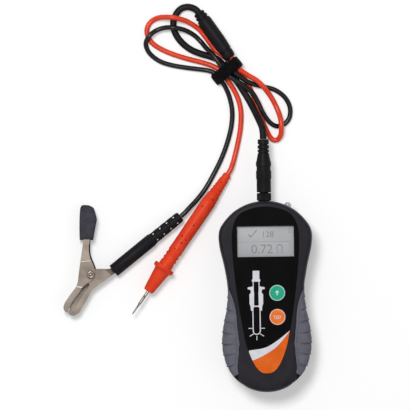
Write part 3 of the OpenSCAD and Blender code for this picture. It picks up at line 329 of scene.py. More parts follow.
# the same sheet where the other cheek keeps the light off it
clipShade = makeMaterial("nickelInShade", ("#14110f", "#1e1a18"), (6, 0.6), (0.45, 0.55), (0.06, 0.02),
                         {"Metallic": 0.5, "Specular IOR Level": 0.05})
# nickel coloured near white along the bend lines: a painted highlight that stands for the lamp caught on the
# bends
clipPaintedHighlight = makeMaterial("nickelBendPaintedHighlight", ("#e2dbd4", "#f2eee9"), (4, 0.6), (0.2, 0.3), (0.06, 0.03),
                          {"Metallic": 0.4})
springSteel = makeMaterial("springSteelWire", ("#6f6c6a", "#8e8a86"), (2, 0.4), (0.25, 0.36), (0.1, 0.02),
                           metal)
needleSteel = makeMaterial("groundNeedleSteel", ("#4e4846", "#8c8480"), (3, 0.3), (0.22, 0.34), (0.12, 0.02),
                           metal)
screwZinc = makeMaterial("zincPlatedSteel", ("#8c8c90", "#b4b4b8"), (2, 0.3), (0.3, 0.42), (0.12, 0.02), metal)
boardGreen = makeMaterial("solderMaskGreen", ("#185a30", "#21703d"), (3, 0.8), (0.3, 0.45), (0.1, 0.03))
chipEpoxy = makeMaterial("mouldedChipEpoxy", ("#1a1a1c", "#242427"), (3, 0.3), (0.5, 0.65), (0.2, 0.03))
shuntCeramic = makeMaterial("cementResistorWhite", ("#cfcabd", "#dedace"), (4, 0.5), (0.6, 0.75), (0.4, 0.06))
lightBox = makeMaterial("diffuserWhite", ("#e0e0dc", "#ecece8"), (6, 0.5), (0.45, 0.55), (0.1, 0.03))
batteryWrap = makeMaterial("lacqueredCanBlue", ("#345180", "#41649a"), (10, 0.6), (0.3, 0.4), (0.06, 0.03))
contactBrass = makeMaterial("springBrass", ("#b79a55", "#d0b877"), (3, 0.4), (0.25, 0.35), (0.1, 0.02), metal)
switchPlastic = makeMaterial("switchNylon", ("#2a2a2e", "#363639"), (2, 0.3), (0.45, 0.6), (0.2, 0.03))
plungerPlastic = makeMaterial("plungerAcetal", ("#c8c8c8", "#d8d8d8"), (2, 0.3), (0.4, 0.5), (0.1, 0.02))
# clear acrylic over the display and clear epoxy of the lamp: most of the light goes straight through
windowClear = makeMaterial("acrylicWindow", ("#e8ecee", "#f0f3f4"), (20, 3), (0.3, 0.36), (0.02, 0.02),
                           {"Alpha": 0.1, "IOR": 1.49, "Specular IOR Level": 0.1})
lampClear = makeMaterial("epoxyLampClear", ("#9ea4a8", "#c9ced0"), (3, 1), (0.08, 0.14), (0.04, 0.02),
                         {"Alpha": 0.72, "IOR": 1.54})


# hook and loop band: a matt pile of short loops 0.9 mm apart, drawn coarser than the real 0.4 mm to show
def makePile(name, shades, sizes, roughness, bump, apart, shader):
    material = makeMaterial(name, shades, sizes, roughness, bump, shader)
    tree = material.node_tree
    place = next(n for n in tree.nodes if n.type == "TEX_COORD").outputs["Object"]
    loops = addNode(tree, "ShaderNodeTexVoronoi", {"Scale": 1 / (apart * mm)}, {"Vector": place})
    rough = next(n for n in tree.nodes if n.type == "BUMP")
    tree.links.new(loops.outputs["Distance"], rough.inputs["Height"])
    return material


strapPile = makePile("hookAndLoopBlack", ("#08080a", "#121214"), (2, 0.4), (0.75, 0.9), (0.8, 0.25), 0.9,
                     {"Specular IOR Level": 0.03, "Sheen Weight": 0.03, "Sheen Roughness": 0.5})

# CAD nodes whose own shape is right, mostly those inside the case
carriedOver = {
    "lcd_light_box": lightBox, "circuit_board": boardGreen, "processor_chip": chipEpoxy, "buzzer": chipEpoxy,
    "measuring_shunt": shuntCeramic, "green_switch": switchPlastic, "orange_switch": switchPlastic,
    "green_plunger": plungerPlastic, "orange_plunger": plungerPlastic, "battery": batteryWrap,
    "battery_contacts": contactBrass, "case_screws": screwZinc, "board_screws": screwZinc,
    "lead_socket": plugBlack, "socket_nut": screwZinc}
for nodeName, nodeMaterial in carriedOver.items():
    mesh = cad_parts[nodeName].data
    mesh.materials.clear()
    mesh.materials.append(nodeMaterial)
print("stage: materials")

# cords
red = {"diameter": 3.8, "material": leadRed, "slot": "lead_red"}
black = {"diameter": 3.6, "material": leadBlack, "slot": "lead_black"}
cordSetup = {
    "mainCable": {"diameter": 5.0, "material": cableGrey, "slot": "cable_grey", "nodes": ["main_cable"]},
    "redLeadLoops": {**red, "nodes": ["red_lead_loops"]},
    "redLeadTail": {**red, "nodes": ["red_lead_tail"]},
    "blackLeadLoops": {**black, "nodes": ["black_lead_loops"]},
    "blackLeadTail": {**black, "nodes": ["black_lead_tail"]}}
# routes of the cords in millimetres, the same as the solids' own
cordPoints = {
    "mainCable": [
        (-0.5, 115.2, 15.4), (-0.5, 117.6, 15.4), (-0.6, 120, 15.3), (-1.2, 124, 14.2), (-3.2, 129, 11.6),
        (-6.2, 135.6, 7.9), (-10.8, 144.6, 4.7), (-16.6, 154.2, 4), (-20, 159.2, 4), (-22.4, 162.5, 4),
        (-25.3, 166.6, 4), (-29, 170.2, 4.1), (-33, 174.2, 3.5), (-38.6, 176.6, 2.7), (-45, 178.5, 2.6),
        (-52.2, 181.6, 2.6), (-58, 186, 2.6), (-62.4, 191.4, 2.6), (-64.8, 197, 2.6), (-65, 202.3, 2.6),
        (-63.5, 206.8, 2.6), (-61.4, 210, 2.6), (-58.4, 212.3, 2.7), (-54.7, 213.1, 3.1), (-51.4, 212.5, 3.8),
        (-49.2, 211.5, 4.3), (-47.9, 210.5, 4.55), (-47.2, 209.8, 4.65), (-46.6, 208.9, 4.75)],
    "redLeadLoops": [
        (-22.8, 175.5, 8.7), (-21.7, 173.8, 8.7), (-20.6, 172, 8.5), (-19.2, 169.6, 7.9), (-17, 166.6, 7.5),
        (-10.4, 162, 7), (-4.8, 158.6, 6.9), (0, 154, 6.4), (4.6, 148, 4.4), (8.3, 141.5, 2.8),
        (11.2, 134.6, 3.6), (12.7, 128.6, 5.8), (13, 123.4, 6.2), (12.6, 118.6, 4.4), (10.4, 115, 2.5),
        (7, 114.6, 2.1), (4.2, 117.6, 2.1), (1.8, 122.4, 2.1), (-0.4, 127.6, 2.1), (-2.4, 133.5, 2.1),
        (-5.3, 142.4, 2.1), (-9, 151.7, 2.1), (-12.9, 159.1, 2.8), (-16, 162.9, 3.3), (-18.5, 165.7, 3.4),
        (-21.6, 169.7, 3.4), (-24.9, 173.3, 3.3), (-29.2, 177, 2.7), (-34.8, 181.4, 2.1), (-41.2, 190.2, 2.1),
        (-47, 197.2, 2.2), (-54.5, 202.2, 4.2), (-59.6, 204.1, 6.6), (-64.8, 205.3, 7.6), (-70.2, 205.8, 6.4),
        (-76, 205.4, 3.6), (-80.8, 203.2, 2.2), (-83.8, 199.4, 2.1), (-84.6, 194.8, 2.1), (-83, 190.2, 2.1),
        (-79.4, 185.8, 2.1), (-72.3, 181.4, 2.1), (-63.6, 177.8, 2.1), (-54.1, 174.8, 2.1),
        (-45.4, 172.5, 2.1), (-39, 170.4, 2.2), (-35, 168.6, 2.8), (-32.7, 167.1, 3.2), (-30.8, 165.2, 3.4),
        (-29.4, 163.4, 3.4), (-28, 161.6, 3.4)],
    "redLeadTail": [
        (-28, 161.6, 3.4), (-26.6, 159.8, 3.4), (-24.6, 157, 2.9), (-20.9, 150.8, 2.1), (-17.8, 143.2, 2.1),
        (-16.4, 134.4, 2.1), (-17, 123.5, 2.1), (-19, 112.8, 2.1), (-21, 104.6, 2.4), (-22.6, 98.8, 3.2),
        (-24, 94.8, 4.1), (-25.4, 92, 4.3), (-26.8, 89.9, 4.4), (-29.4, 86.2, 4.6), (-31.9, 82.6, 4.8)],
    "blackLeadLoops": [
        (-26.3, 173.3, 8.7), (-25.3, 171.7, 8.7), (-24.3, 170.1, 8.7), (-22.7, 167.4, 8.6),
        (-20.5, 164.2, 8.5), (-16.3, 161.1, 8.1), (-11.8, 157.8, 7), (-6.4, 155.6, 4.6), (-1, 154.1, 2.2),
        (8.5, 151.4, 2), (15.6, 146.1, 2), (19.4, 138.9, 2), (19.2, 131.4, 2), (15.6, 126.4, 2),
        (9.7, 124.7, 2.1), (4.4, 127.8, 4.6), (-0.2, 134.4, 6.3), (-3.9, 142.5, 6.3), (-8.4, 150, 6.9),
        (-15.4, 155.6, 8.6), (-19.6, 158.2, 8.8), (-23.8, 161.4, 8.7), (-27.4, 164.9, 8.4), (-30.5, 169, 8.7),
        (-33.2, 173.4, 8.6), (-36.4, 177.7, 7.6), (-39, 180.5, 6.2), (-41.8, 183.4, 3.8), (-45, 187.4, 2.1),
        (-49.4, 191.8, 2), (-54.4, 195, 3.3), (-59.6, 197, 6.1), (-65, 197.9, 7.5), (-70.6, 198.1, 6.1),
        (-77, 196.4, 5.3), (-82.4, 192.6, 6.4), (-85.4, 187.2, 5.6), (-84.2, 181.6, 2.9), (-80, 176.7, 2),
        (-74, 172.9, 2), (-66.1, 170.4, 2), (-56.5, 168.6, 2), (-47.8, 167.4, 2), (-42, 166.6, 2.1),
        (-38.4, 165.7, 2.6), (-36, 164.5, 3.1), (-34, 162.6, 3.3), (-32.6, 160.8, 3.3), (-31.2, 159, 3.3)],
    "blackLeadTail": [
        (-31.2, 159, 3.3), (-29.8, 157.2, 3.3), (-27.9, 154.4, 2.9), (-24.8, 146.8, 2), (-22.9, 136.6, 2),
        (-23.6, 125.4, 2), (-27, 112.5, 2), (-31.7, 100.6, 2), (-37.4, 89.6, 2.1), (-43.6, 79.2, 2.9),
        (-49.8, 71.4, 4.2), (-55.2, 65.8, 5.6), (-58.8, 62, 6.2), (-61.7, 59.5, 6.2)]}


def lineLength(line):
    return sum((b - a).length for a, b in zip(line, line[1:]))


def makeCord(name, points, setup):
    # one open spline through the route's points, in metres
    line = smoothLine([Vector(p) * mm for p in points], 6)
    curve = bpy.data.curves.new(name, "CURVE")
    curve.dimensions = "3D"
    curve.bevel_depth = setup["diameter"] * mm / 2
    curve.bevel_resolution = 5
    curve.use_fill_caps = True
    spline = curve.splines.new("POLY")
    spline.points.add(len(line) - 1)
    for point, place in zip(spline.points, line):
        point.co = (*place, 1)
    spline.use_smooth = True
    curve.materials.append(setup["material"])
    cord = linked(bpy.data.objects.new(name, curve))
    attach(cord, "tester")
    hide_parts(*setup["nodes"])
    return cord, lineLength(line)


cords = {name: makeCord(name, cordPoints[name], setup) for name, setup in cordSetup.items()}
print("stage: cords", {name: round(length, 4) for name, (cord, length) in cords.items()})

# case outline
caseSize = {"halfWidth": 34.3, "halfLength": 70, "height": 31, "joint": 15.4, "wall": 2.2, "edgeIn": 2.4,
            "edgeRise": 7, "footIn": 3, "footRise": 3.6, "gripWidth": 12.8, "skirt": 2.4, "skirtFade": 3.84,
            "labelDepth": 0.5, "plate": 2.2, "seamGap": 0.1, "seamDeep": 0.35, "seamHigh": 0.45, "soft": 0.12}
# outlines in shares of the half width and half length, from the foot up the right side
outlineShares = [
    (0, -1), (0.35, -0.967), (0.668, -0.864), (0.857, -0.714), (0.948, -0.521), (0.921, -0.314),
    (0.843, -0.121), (0.819, 0.086), (0.886, 0.314), (0.983, 0.529), (0.988, 0.679), (0.875, 0.786),
    (0.641, 0.9), (0.335, 0.975), (0, 1)]
labelShares = [
    (0, -1), (0.18, -0.984), (0.336, -0.921), (0.471, -0.82), (0.607, -0.664), (0.709, -0.458),
    (0.816, -0.199), (0.889, 0.02), (0.959, 0.283), (1, 0.543), (0.984, 0.717), (0.885, 0.847), (0.7, 0.93),
    (0.361, 0.982), (0, 1)]
# how far a grip reaches in, by its place along the case
gripShares = [
    (-0.9, 0), (-0.875, 0.12), (-0.83, 0.36), (-0.74, 0.64), (-0.64, 0.86), (-0.5, 1), (-0.36, 0.9),
    (-0.21, 0.68), (-0.057, 0.4), (0.03, 0.2), (0.09, 0.06), (0.11, 0)]
labelSize = {"halfWidth": 24.4, "halfLength": 60.95, "shift": 4.65}


def fullOutline(shares, halfWidth, halfLength, shift=0, steps=9):
    right = [(x * halfWidth, y * halfLength + shift) for x, y in shares]
    left = [(-x, y) for x, y in reversed(right[1:-1])]
    return smoothLine(right + left, steps, closed=True)


def waysOut(line):
    # the way out at each point of a closed outline that runs anticlockwise
    return [wayRight(wayAlong(line, i, closed=True)) for i in range(len(line))]


def gripDepthAt(y):
    return caseSize["gripWidth"] * stepped(gripShares, y / caseSize["halfLength"])


def skirtAt(depth):
    # the side under a grip steps in, less where the grip itself gets shallow
    return caseSize["skirt"] * min(1, depth / caseSize["skirtFade"])


caseLine = fullOutline(outlineShares, caseSize["halfWidth"], caseSize["halfLength"])
caseWays = waysOut(caseLine)
labelLine = fullOutline(labelShares, labelSize["halfWidth"], labelSize["halfLength"], labelSize["shift"])
labelWays = waysOut(labelLine)
gripDepths = softened([gripDepthAt(p[1]) for p in caseLine], 4)
skirtDepths = softened([skirtAt(depth) for depth in gripDepths], 3)
ledge = caseSize["height"] - caseSize["edgeRise"]
face = caseSize["height"]


def edgeInset(z):
    if z <= ledge:
        return 0
    return caseSize["edgeIn"] * (1 - math.sqrt(max(0, 1 - ((z - ledge) / caseSize["edgeRise"]) ** 2)))


def caseRing(z, depths):
    return [(p[0] - d * w[0], p[1] - d * w[1], z) for p, w, d in zip(caseLine, caseWays, depths)]


def labelRing(z, out):
    return [(p[0] + out * w[0], p[1] + out * w[1], z) for p, w in zip(labelLine, labelWays)]


def atLeast(depths, low, more=0):
    return [max(d, low) + more for d in depths]


def boxHole(width, height, x, y):
    return [(x + a * width / 2, y + b * height / 2) for a, b in ((-1, -1), (1, -1), (1, 1), (-1, 1))]


def shellPiece(bm, rings, holes):
    # lofts a hollow shell and closes its floor round the holes, on both sides of its thickness
    firstEdges, lastEdges = loft(bm, rings, caps=(False, False))
    low, high = rings[0][0][2], rings[-1][0][2]
    firstFill, lastFill = list(firstEdges), list(lastEdges)
    for hole in holes:
        verts, edges = drawLoop(bm, [(x, y, low) for x, y in hole])
        firstFill += edges
        verts, edges = extrudeTo(bm, verts, edges, [(x, y, high) for x, y in hole])
        lastFill += edges
    bmesh.ops.triangle_fill(bm, edges=firstFill, use_beauty=True, use_dissolve=False)
    bmesh.ops.triangle_fill(bm, edges=lastFill, use_beauty=True, use_dissolve=False)


none = [0] * len(caseLine)
windowSize = {"width": 41.5, "height": 22.4, "y": 40.3}
keySize = {"radius": 5.9, "play": 0.2, "x": 8, "green": 2.6, "orange": -15}
faceHoles = [boxHole(windowSize["width"], windowSize["height"], 0, windowSize["y"])]
for key in ("green", "orange"):
    faceHoles.append(ringPoints(keySize["x"], keySize[key], keySize["radius"] + keySize["play"]))


# front and back shells: where their rings lie, in shares of a rounding's rise or of the way to the label
shellSetup = {"edgeRings": (0.12, 0.3, 0.46, 0.6, 0.72, 0.82, 0.9, 0.96), "faceRings": (0.35, 0.7, 1),
              "footRings": (0.05, 0.14, 0.28, 0.46, 0.68), "footSpread": 1.02, "gripFrom": 0.3, "gripStep": 0.6,
              "border": 0.9, "labelStep": 0.25, "sill": 0.8, "floorIn": 1.5}


def makeFrontShell():
    joint, soft = caseSize["joint"], caseSize["soft"]
    inside = atLeast(skirtDepths, 0, caseSize["wall"])
    rings = [caseRing(face - caseSize["labelDepth"] - caseSize["plate"],
                      atLeast(gripDepths, caseSize["edgeIn"], caseSize["wall"])),
             caseRing(ledge, inside), caseRing(joint + caseSize["seamGap"], inside),
             caseRing(joint + caseSize["seamGap"], atLeast(skirtDepths, caseSize["seamDeep"])),
             caseRing(joint + caseSize["seamHigh"], skirtDepths), caseRing(ledge, skirtDepths)]
    for share in shellSetup["edgeRings"]:
        z = ledge + share * caseSize["edgeRise"]
        rings.append(caseRing(z, atLeast(gripDepths, edgeInset(z))))
    step, gripFrom = shellSetup["gripStep"], shellSetup["gripFrom"]
    besideGrips = [depth + step if depth > gripFrom else 0 for depth in gripDepths]
    edgeRing = caseRing(face - soft, atLeast(besideGrips, caseSize["edgeIn"]))
    rings.append(edgeRing)
    # the face dishes up to a border outside the label
    border = labelRing(face, shellSetup["border"])
    for share in shellSetup["faceRings"]:
        rings.append([(a[0] + (b[0] - a[0]) * share, a[1] + (b[1] - a[1]) * share, face - soft * (1 - share))
                      for a, b in zip(edgeRing, border)])
    rings += [labelRing(face, shellSetup["labelStep"]), labelRing(face - soft, soft),
              labelRing(face - caseSize["labelDepth"], soft)]
    bm = bmesh.new()
    shellPiece(bm, rings, faceHoles)
    makePiece("frontShell", bm, caseAbs, stands=["front_shell"], sharp=40)


screwPlaces = [(x * sx, sy) for x in (-1, 1) for sx, sy in ((27, 40), (19.9, -56))]
screwHole = 3
# a screw's well and the boss above it, up to the joint, as (radius, height)
screwWell = [(3, 0.3), (3, 3), (1.6, 3), (1.6, 15.2), (3.1, 15.2), (3.1, 3.9), (4.1, 3.9), (4.1, 2)]
bayWall = {"size": (1.4, 34, 9), "x": 14.35, "y": -27.75, "z": 6.5}
doorSetup = {"width": 31, "length": 53, "y": -27.7, "rim": 2, "rimHigh": 0.95, "plateIn": 4.5,
             "plateHigh": 1, "holdIn": 8.5, "holdWide": 0.46, "holdLong": 10, "holdDeep": 1.2, "ridges": 5,
             "ridgePitch": 1.8, "ridgeWide": 0.4, "ridgeLong": 0.9, "ridgeHigh": 0.6, "ridgeUp": 0.4}


def makeBackShell():
    wall, foot, joint, rim = caseSize["wall"], caseSize["footRise"], caseSize["joint"], 2 * doorSetup["rim"]
    inside, sill = atLeast(skirtDepths, 0, wall), foot + shellSetup["sill"]
    rings = [caseRing(0, atLeast(none, caseSize["footIn"]))]
    for share in shellSetup["footRings"]:
        inset = caseSize["footIn"] * (1 - math.sqrt(1 - (1 - share) ** 2)) * shellSetup["footSpread"]
        rings.append(caseRing(foot * share, atLeast(none, inset)))
    rings += [caseRing(foot, none), caseRing(sill, skirtDepths),
              caseRing(joint - caseSize["seamHigh"], skirtDepths),
              caseRing(joint - caseSize["seamGap"], atLeast(skirtDepths, caseSize["seamDeep"])),
              caseRing(joint - caseSize["seamGap"], inside), caseRing(sill, inside),
              caseRing(wall, atLeast(skirtDepths, shellSetup["floorIn"], wall))]
    holes = [ringPoints(x, y, screwHole) for x, y in screwPlaces]
    holes.append(boxHole(doorSetup["width"] - rim, doorSetup["length"] - rim, 0, doorSetup["y"]))
    bm = bmesh.new()
    shellPiece(bm, rings, holes)
    for x, y in screwPlaces:
        start = set(bm.verts)
        spinShape(bm, screwWell, 32)
        bmesh.ops.translate(bm, vec=(x, y, 0), verts=[v for v in bm.verts if v not in start])
    # walls that stand round the battery
    for side in (-1, 1):
        roundedBlock(bm, bayWall["size"], (side * bayWall["x"], bayWall["y"], bayWall["z"]), 0.3, 2)
    makePiece("backShell", bm, caseAbs, stands=["back_shell"], sharp=40)


makeFrontShell()
makeBackShell()
print("stage: shells")

# battery door
def makeDoor():
    low, high = boxOf("battery_door")
    size, centre = high - low, (low + high) / 2
    rimHigh, plateIn, plateHigh = [doorSetup[key] for key in ("rimHigh", "plateIn", "plateHigh")]
    holdSize = (size.x * doorSetup["holdWide"], doorSetup["holdLong"], doorSetup["holdDeep"])
    ridgeSize = (size.x * doorSetup["ridgeWide"], doorSetup["ridgeLong"], doorSetup["ridgeHigh"])
    hold = centre.y + size.y / 2 - doorSetup["holdIn"]
    bm, cuts = bmesh.new(), bmesh.new()
    roundedBlock(bm, (size.x, size.y, rimHigh), (centre.x, centre.y, low.z + rimHigh / 2), 0.3)
    roundedBlock(cuts, holdSize, (centre.x, hold, low.z), 0.5)
    bm = cutAway(bm, cuts)
    plateSize = (size.x - plateIn, size.y - plateIn, plateHigh)
    roundedBlock(bm, plateSize, (centre.x, centre.y, high.z - plateHigh / 2), 0.2)
    # the finger hold: ridges in a shallow pocket
    for k in range(doorSetup["ridges"]):
        y = hold + (k - doorSetup["ridges"] // 2) * doorSetup["ridgePitch"]
        roundedBlock(bm, ridgeSize, (centre.x, y, low.z + doorSetup["ridgeUp"]), 0.2)
    makePiece("batteryDoor", bm, caseAbs, body="battery_cover", stands=["battery_door"])


makeDoor()
print("stage: battery door")

# side grips
gripSetup = {"grooves": 7, "first": -1.4, "pitch": 8.4, "width": 0.6, "depth": 1.1, "ribShift": 1.1, "rib": 0.6,
             "land": 0.6, "lip": 1.7, "play": 0.15, "ends": (-61.6, 7.3),
             "edge": ((0.03, 0.62), (0.09, 0.42), (0.2, 0.22), (0.33, 0.1), (0.46, 0.04), (0.58, 0.02))}


def grooveAt(y, shift=0):
    # how deep the grooves are along the case, from 0 to 1, or with a shift how high the rib above each is
    first, pitch, width = gripSetup["first"] + shift, gripSetup["pitch"], gripSetup["width"]
    return max(math.exp(-(abs(y - first + k * pitch) / width) ** 4) for k in range(gripSetup["grooves"]))


def swellAt(y):
    # pads between the grooves stand out a little
    first, pitch = gripSetup["first"], gripSetup["pitch"]
    if not first - (gripSetup["grooves"] - 1) * pitch - 3 < y < first + 3:
        return 0
    return 0.5 - 0.5 * math.cos(2 * math.pi * (y - first) / pitch)


def roundedTop(x):
    if x >= caseSize["edgeIn"]:
        return face
    return ledge + caseSize["edgeRise"] * math.sqrt(max(0, 1 - (1 - x / caseSize["edgeIn"]) ** 2))


def makeGrip(name, node, side):
    # a finer line along the side, so that the grooves are cut cleanly
    low, high = gripSetup["ends"]
    fine = [p for p in smoothLine(caseLine[20:125:4], 22) if low < p[1] < high]
    edgeIn, play = caseSize["edgeIn"], gripSetup["play"]
    rings = []
    for i, p in enumerate(fine):
        way = wayRight(wayAlong(fine, i))
        deep = max(0.9, gripDepthAt(p[1]) - play)
        skirt = max(0.3, skirtAt(deep) - play)
        land = gripSetup["land"] * min(1, max(0, deep / edgeIn - 1))
        cut = grooveAt(p[1]) * gripSetup["depth"] * min(1, deep / 6)
        rib = gripSetup["rib"] * grooveAt(p[1], gripSetup["ribShift"]) * min(1, deep / 4)
        swell = 0.25 * swellAt(p[1]) + rib
        # the section from the foot up the side, over the edge, up the lip and back down inside
        section = [(0.25, 3.95), (0, 4.6), (-0.3 * swell, 12), (cut * 0.4 - swell, ledge - 3),
                   (cut * 0.5 - swell, ledge)]
        for share, drop in gripSetup["edge"]:
            z = min(roundedTop(share * deep), face - drop * caseSize["edgeRise"])
            fade = 1 if share < 0.5 else 0.35
            section.append((share * deep - swell * (1 - share) + cut * 0.4 * (0.5 - min(0.5, share)),
                            z - cut * fade + 0.5 * rib * (1 - share)))
        lip = max(0.6, 1 - gripSetup["lip"] / deep) * deep
        lipTop, top = min(roundedTop(lip), face), roundedTop(deep) + land
        section += [(lip - 0.25, lipTop - 0.1), (lip + 0.1, lipTop + land * 0.75),
                    (lip + 0.45, lipTop + land), (deep - 0.35, top), (deep, top - 0.3), (deep, ledge + 1),
                    (skirt, ledge + play), (skirt, 4.7)]
        rings.append([(side * (p[0] - x * way[0]), p[1] - x * way[1], z) for x, z in section])
    bm = bmesh.new()
    loft(bm, rings)
    makePiece(name, bm, gripRubber, stands=[node], sharp=50)


makeGrip("rightGrip", "right_grip", 1)
makeGrip("leftGrip", "left_grip", -1)
print("stage: grips")


# label and its print
def makeLabel():
    rings = [labelRing(face - caseSize["labelDepth"], 0), labelRing(face - 0.08, 0), labelRing(face, -0.08)]
    bm = bmesh.new()
    shellPiece(bm, rings, faceHoles)
    makePiece("faceLabel", bm, labelGloss, stands=["face_label"], sharp=30)


def flatShape(bm, points, z=face + 0.01, thick=0.05):
    # a printed patch: a face drawn round its points and given a thickness
    verts = [bm.verts.new((x, y, z)) for x, y in points]
    top = bm.faces.new(verts)
    made = bmesh.ops.extrude_face_region(bm, geom=[top])["geom"]
    bmesh.ops.translate(bm, vec=(0, 0, thick), verts=[g for g in made if isinstance(g, bmesh.types.BMVert)])


def stripe(bm, points, width, z=face + 0.01, thick=0.05, closed=False):
    # a printed line of even width along points
    line = [Vector(p) for p in points]
    rings = []
    for i, p in enumerate(line):
        out = wayRight(wayAlong(line, i, closed)) * width / 2
        (ax, ay), (bx, by) = p + out, p - out
        rings.append([(ax, ay, z), (ax, ay, z + thick), (bx, by, z + thick), (bx, by, z)])
    if closed:
        rings.append(rings[0])
    loft(bm, rings, caps=(not closed, not closed))


def onLabel(shares):
    return [(x * labelSize["halfWidth"], y * labelSize["halfLength"] + labelSize["shift"]) for x, y in shares]


def makePrints():
    # the band and the field run out to the label's edge and meet without a gap
    edge = [(p[0] - 0.15 * w[0], p[1] - 0.15 * w[1]) for p, w in zip(labelLine, labelWays)]
    leftEdge, rightEdge = edge[len(edge) // 2:], edge[:len(edge) // 2]
    upper, lower = [[tuple(p) for p in smoothLine(onLabel(shares), 8)] for shares in (
        [(-0.541, -0.721), (-0.066, -0.69), (0.283, -0.614), (0.697, -0.486)],
        [(0.684, -0.496), (0.586, -0.547), (0.279, -0.683), (-0.07, -0.775), (-0.426, -0.842)])]
    between = [p for p in leftEdge if lower[-1][1] < p[1] < upper[0][1]]
    below = [p for p in leftEdge if p[1] < lower[-1][1]] + [p for p in rightEdge if p[1] < lower[0][1]]
    for name, points, thick, material in (("labelBand", upper + lower + between[::-1], 0.05, printWhite),
                                          ("labelField", lower + below, 0.045, printOrange)):
        bm = bmesh.new()
        flatShape(bm, points, thick=thick)
        makePiece(name, bm, material)


makeLabel()
makePrints()
print("stage: label")

# generic glow plug drawn on the label: half outlines as (out from its axis, down from its top)
plugDrawing = {
    "x": -7.3, "top": 19.0, "tubeTop": 29.3, "tubeEnd": 43.9, "tube": 2.6, "line": 0.75, "ray": 0.55,
    "body": [(2.2, 0), (2.45, 0.3), (2.45, 6.3), (3.05, 6.3), (3.05, 7.9), (2.45, 8.2), (2.45, 11.4),
             (4, 11.8), (6, 12), (6.4, 12.7), (6, 13.4), (4.4, 13.8), (4, 14.8), (4, 16.2), (5, 17.2),
             (5, 24), (4.3, 26), (4, 29), (3, 29.6)],
    "rod": [(1.8, 8), (1.8, 14.6), (1.6, 15.4), (1.7, 24.8), (1.5, 25.5)],
    "bore": [(1.5, 26.4), (2.2, 27.4), (2.2, 30)],
    "rays": [((3.1, 42.1), (6, 42.1)), ((2.4, 46.1), (5.2, 47.9))],
    "lastRay": (47.6, 50.7)}


def makePlugDrawing():
    x, top, tube, ray = [plugDrawing[key] for key in ("x", "top", "tube", "ray")]

    def both(offsets):
        return [(x + a, top - b) for a, b in offsets] + [(x - a, top - b) for a, b in reversed(offsets)]

    # terminal, collar, flange with two ears and hexagon body in one outline, then the heater tube and rays
    bm = bmesh.new()
    flatShape(bm, both(plugDrawing["body"]))
    tip = arcPoints(x, top - plugDrawing["tubeEnd"], tube, tube, 180, 180, 12)
    tubeTop = top - plugDrawing["tubeTop"]
    stripe(bm, [(x - tube, tubeTop)] + tip + [(x + tube, tubeTop)], plugDrawing["line"])
    for side in (-1, 1):
        for ends in plugDrawing["rays"]:
            stripe(bm, [(x + side * a, top - b) for a, b in ends], ray)
    stripe(bm, [(x, top - b) for b in plugDrawing["lastRay"]], ray)
    makePiece("plugDrawing", bm, printWhite)
    # black windows over the white body: the rod above and the tube's bore below
    bm = bmesh.new()
    for key in ("rod", "bore"):
        flatShape(bm, both(plugDrawing[key]), z=face + 0.065, thick=0.02)
    makePiece("plugDrawingCore", bm, labelGloss)


makePlugDrawing()


# display
def makeText(bm, text, size, x, y, z, thick=0.06):
    # plain characters: the curve is turned into a mesh before it is placed
    curve = bpy.data.curves.new("reading", "FONT")
    curve.body = text
    curve.size = size
    curve.extrude = thick / 2
    curve.align_x = "CENTER"
    carrier = linked(bpy.data.objects.new("reading", curve))
    start = set(bm.verts)
    bm.from_mesh(carrier.to_mesh())
    bmesh.ops.translate(bm, vec=(x, y, z), verts=[v for v in bm.verts if v not in start])
    carrier.to_mesh_clear()
    bpy.data.objects.remove(carrier)
    bpy.data.curves.remove(curve)


# what the display shows: (text, size, x, y), and lines as (points, width)
displaySetup = {
    "texts": [("128", 6.1, 1.6, 43.5), ("0.72", 9.4, -2.6, 31.6)],
    "check": [([(-12.4, 45.6), (-10.6, 43.5)], 0.9), ([(-10.8, 43.4), (-6.3, 48.6)], 0.7)],
    "ohm": {"x": 10.3, "y": 35.3, "wide": 2, "high": 2.6, "line": 0.55, "foot": 32, "feet": (0.95, 2.5)},
    "divider": ([(-20.3, 40.1), (18, 40.1)], 0.22),
    "battery": [(17.2, 46.2), (18.8, 46.2), (18.8, 49.4), (17.2, 49.4)],
    "batteryCap": ([(17.6, 49.8), (18.4, 49.8)], 0.4), "batteryLine": 0.25, "lift": 0.05}


def clearBlock(name, node, radius, material):
    low, high = boxOf(node)
    bm = bmesh.new()
    roundedBlock(bm, high - low, (low + high) / 2, radius, 2)
    makePiece(name, bm, material, stands=[node])
    return high.z


def makeDisplay():
    top = clearBlock("displayGlass", "lcd_glass", 0.15, displayGlass) + displaySetup["lift"]
    bm = bmesh.new()
    for points, width in displaySetup["check"]:
        stripe(bm, points, width, top)
    for text, size, x, y in displaySetup["texts"]:
        makeText(bm, text, size, x, y, top)
    # ohm sign: an open ring on two feet
    ohm = displaySetup["ohm"]
    stripe(bm, arcPoints(ohm["x"], ohm["y"], ohm["wide"], ohm["high"], -60, 300), ohm["line"], top)
    for side in (-1, 1):
        stripe(bm, [(ohm["x"] + side * out, ohm["foot"]) for out in ohm["feet"]], ohm["line"], top)
    stripe(bm, *displaySetup["divider"], top)
    stripe(bm, displaySetup["battery"], displaySetup["batteryLine"], top, closed=True)
    stripe(bm, *displaySetup["batteryCap"], top)
    makePiece("displayReading", bm, displayInk)
    clearBlock("displayWindow", "display_window", 0.25, windowClear)


makeDisplay()
print("stage: display")


# keys: the cap from the foot of its stem to its dished top
keyTop = face + 0.7
keyProfile = [(0, 23.4), (1.5, 23.4), (1.5, 27.2), (6.9, 27.2), (6.9, 28), (5.9, 28), (5.9, keyTop - 0.35),
              (5.75, keyTop - 0.12), (5.4, keyTop - 0.02), (5.05, keyTop), (4.7, keyTop - 0.05),
              (3.5, keyTop - 0.02), (0, keyTop)]
keyRim = {"radius": 5.42, "width": 0.42, "steps": 56}


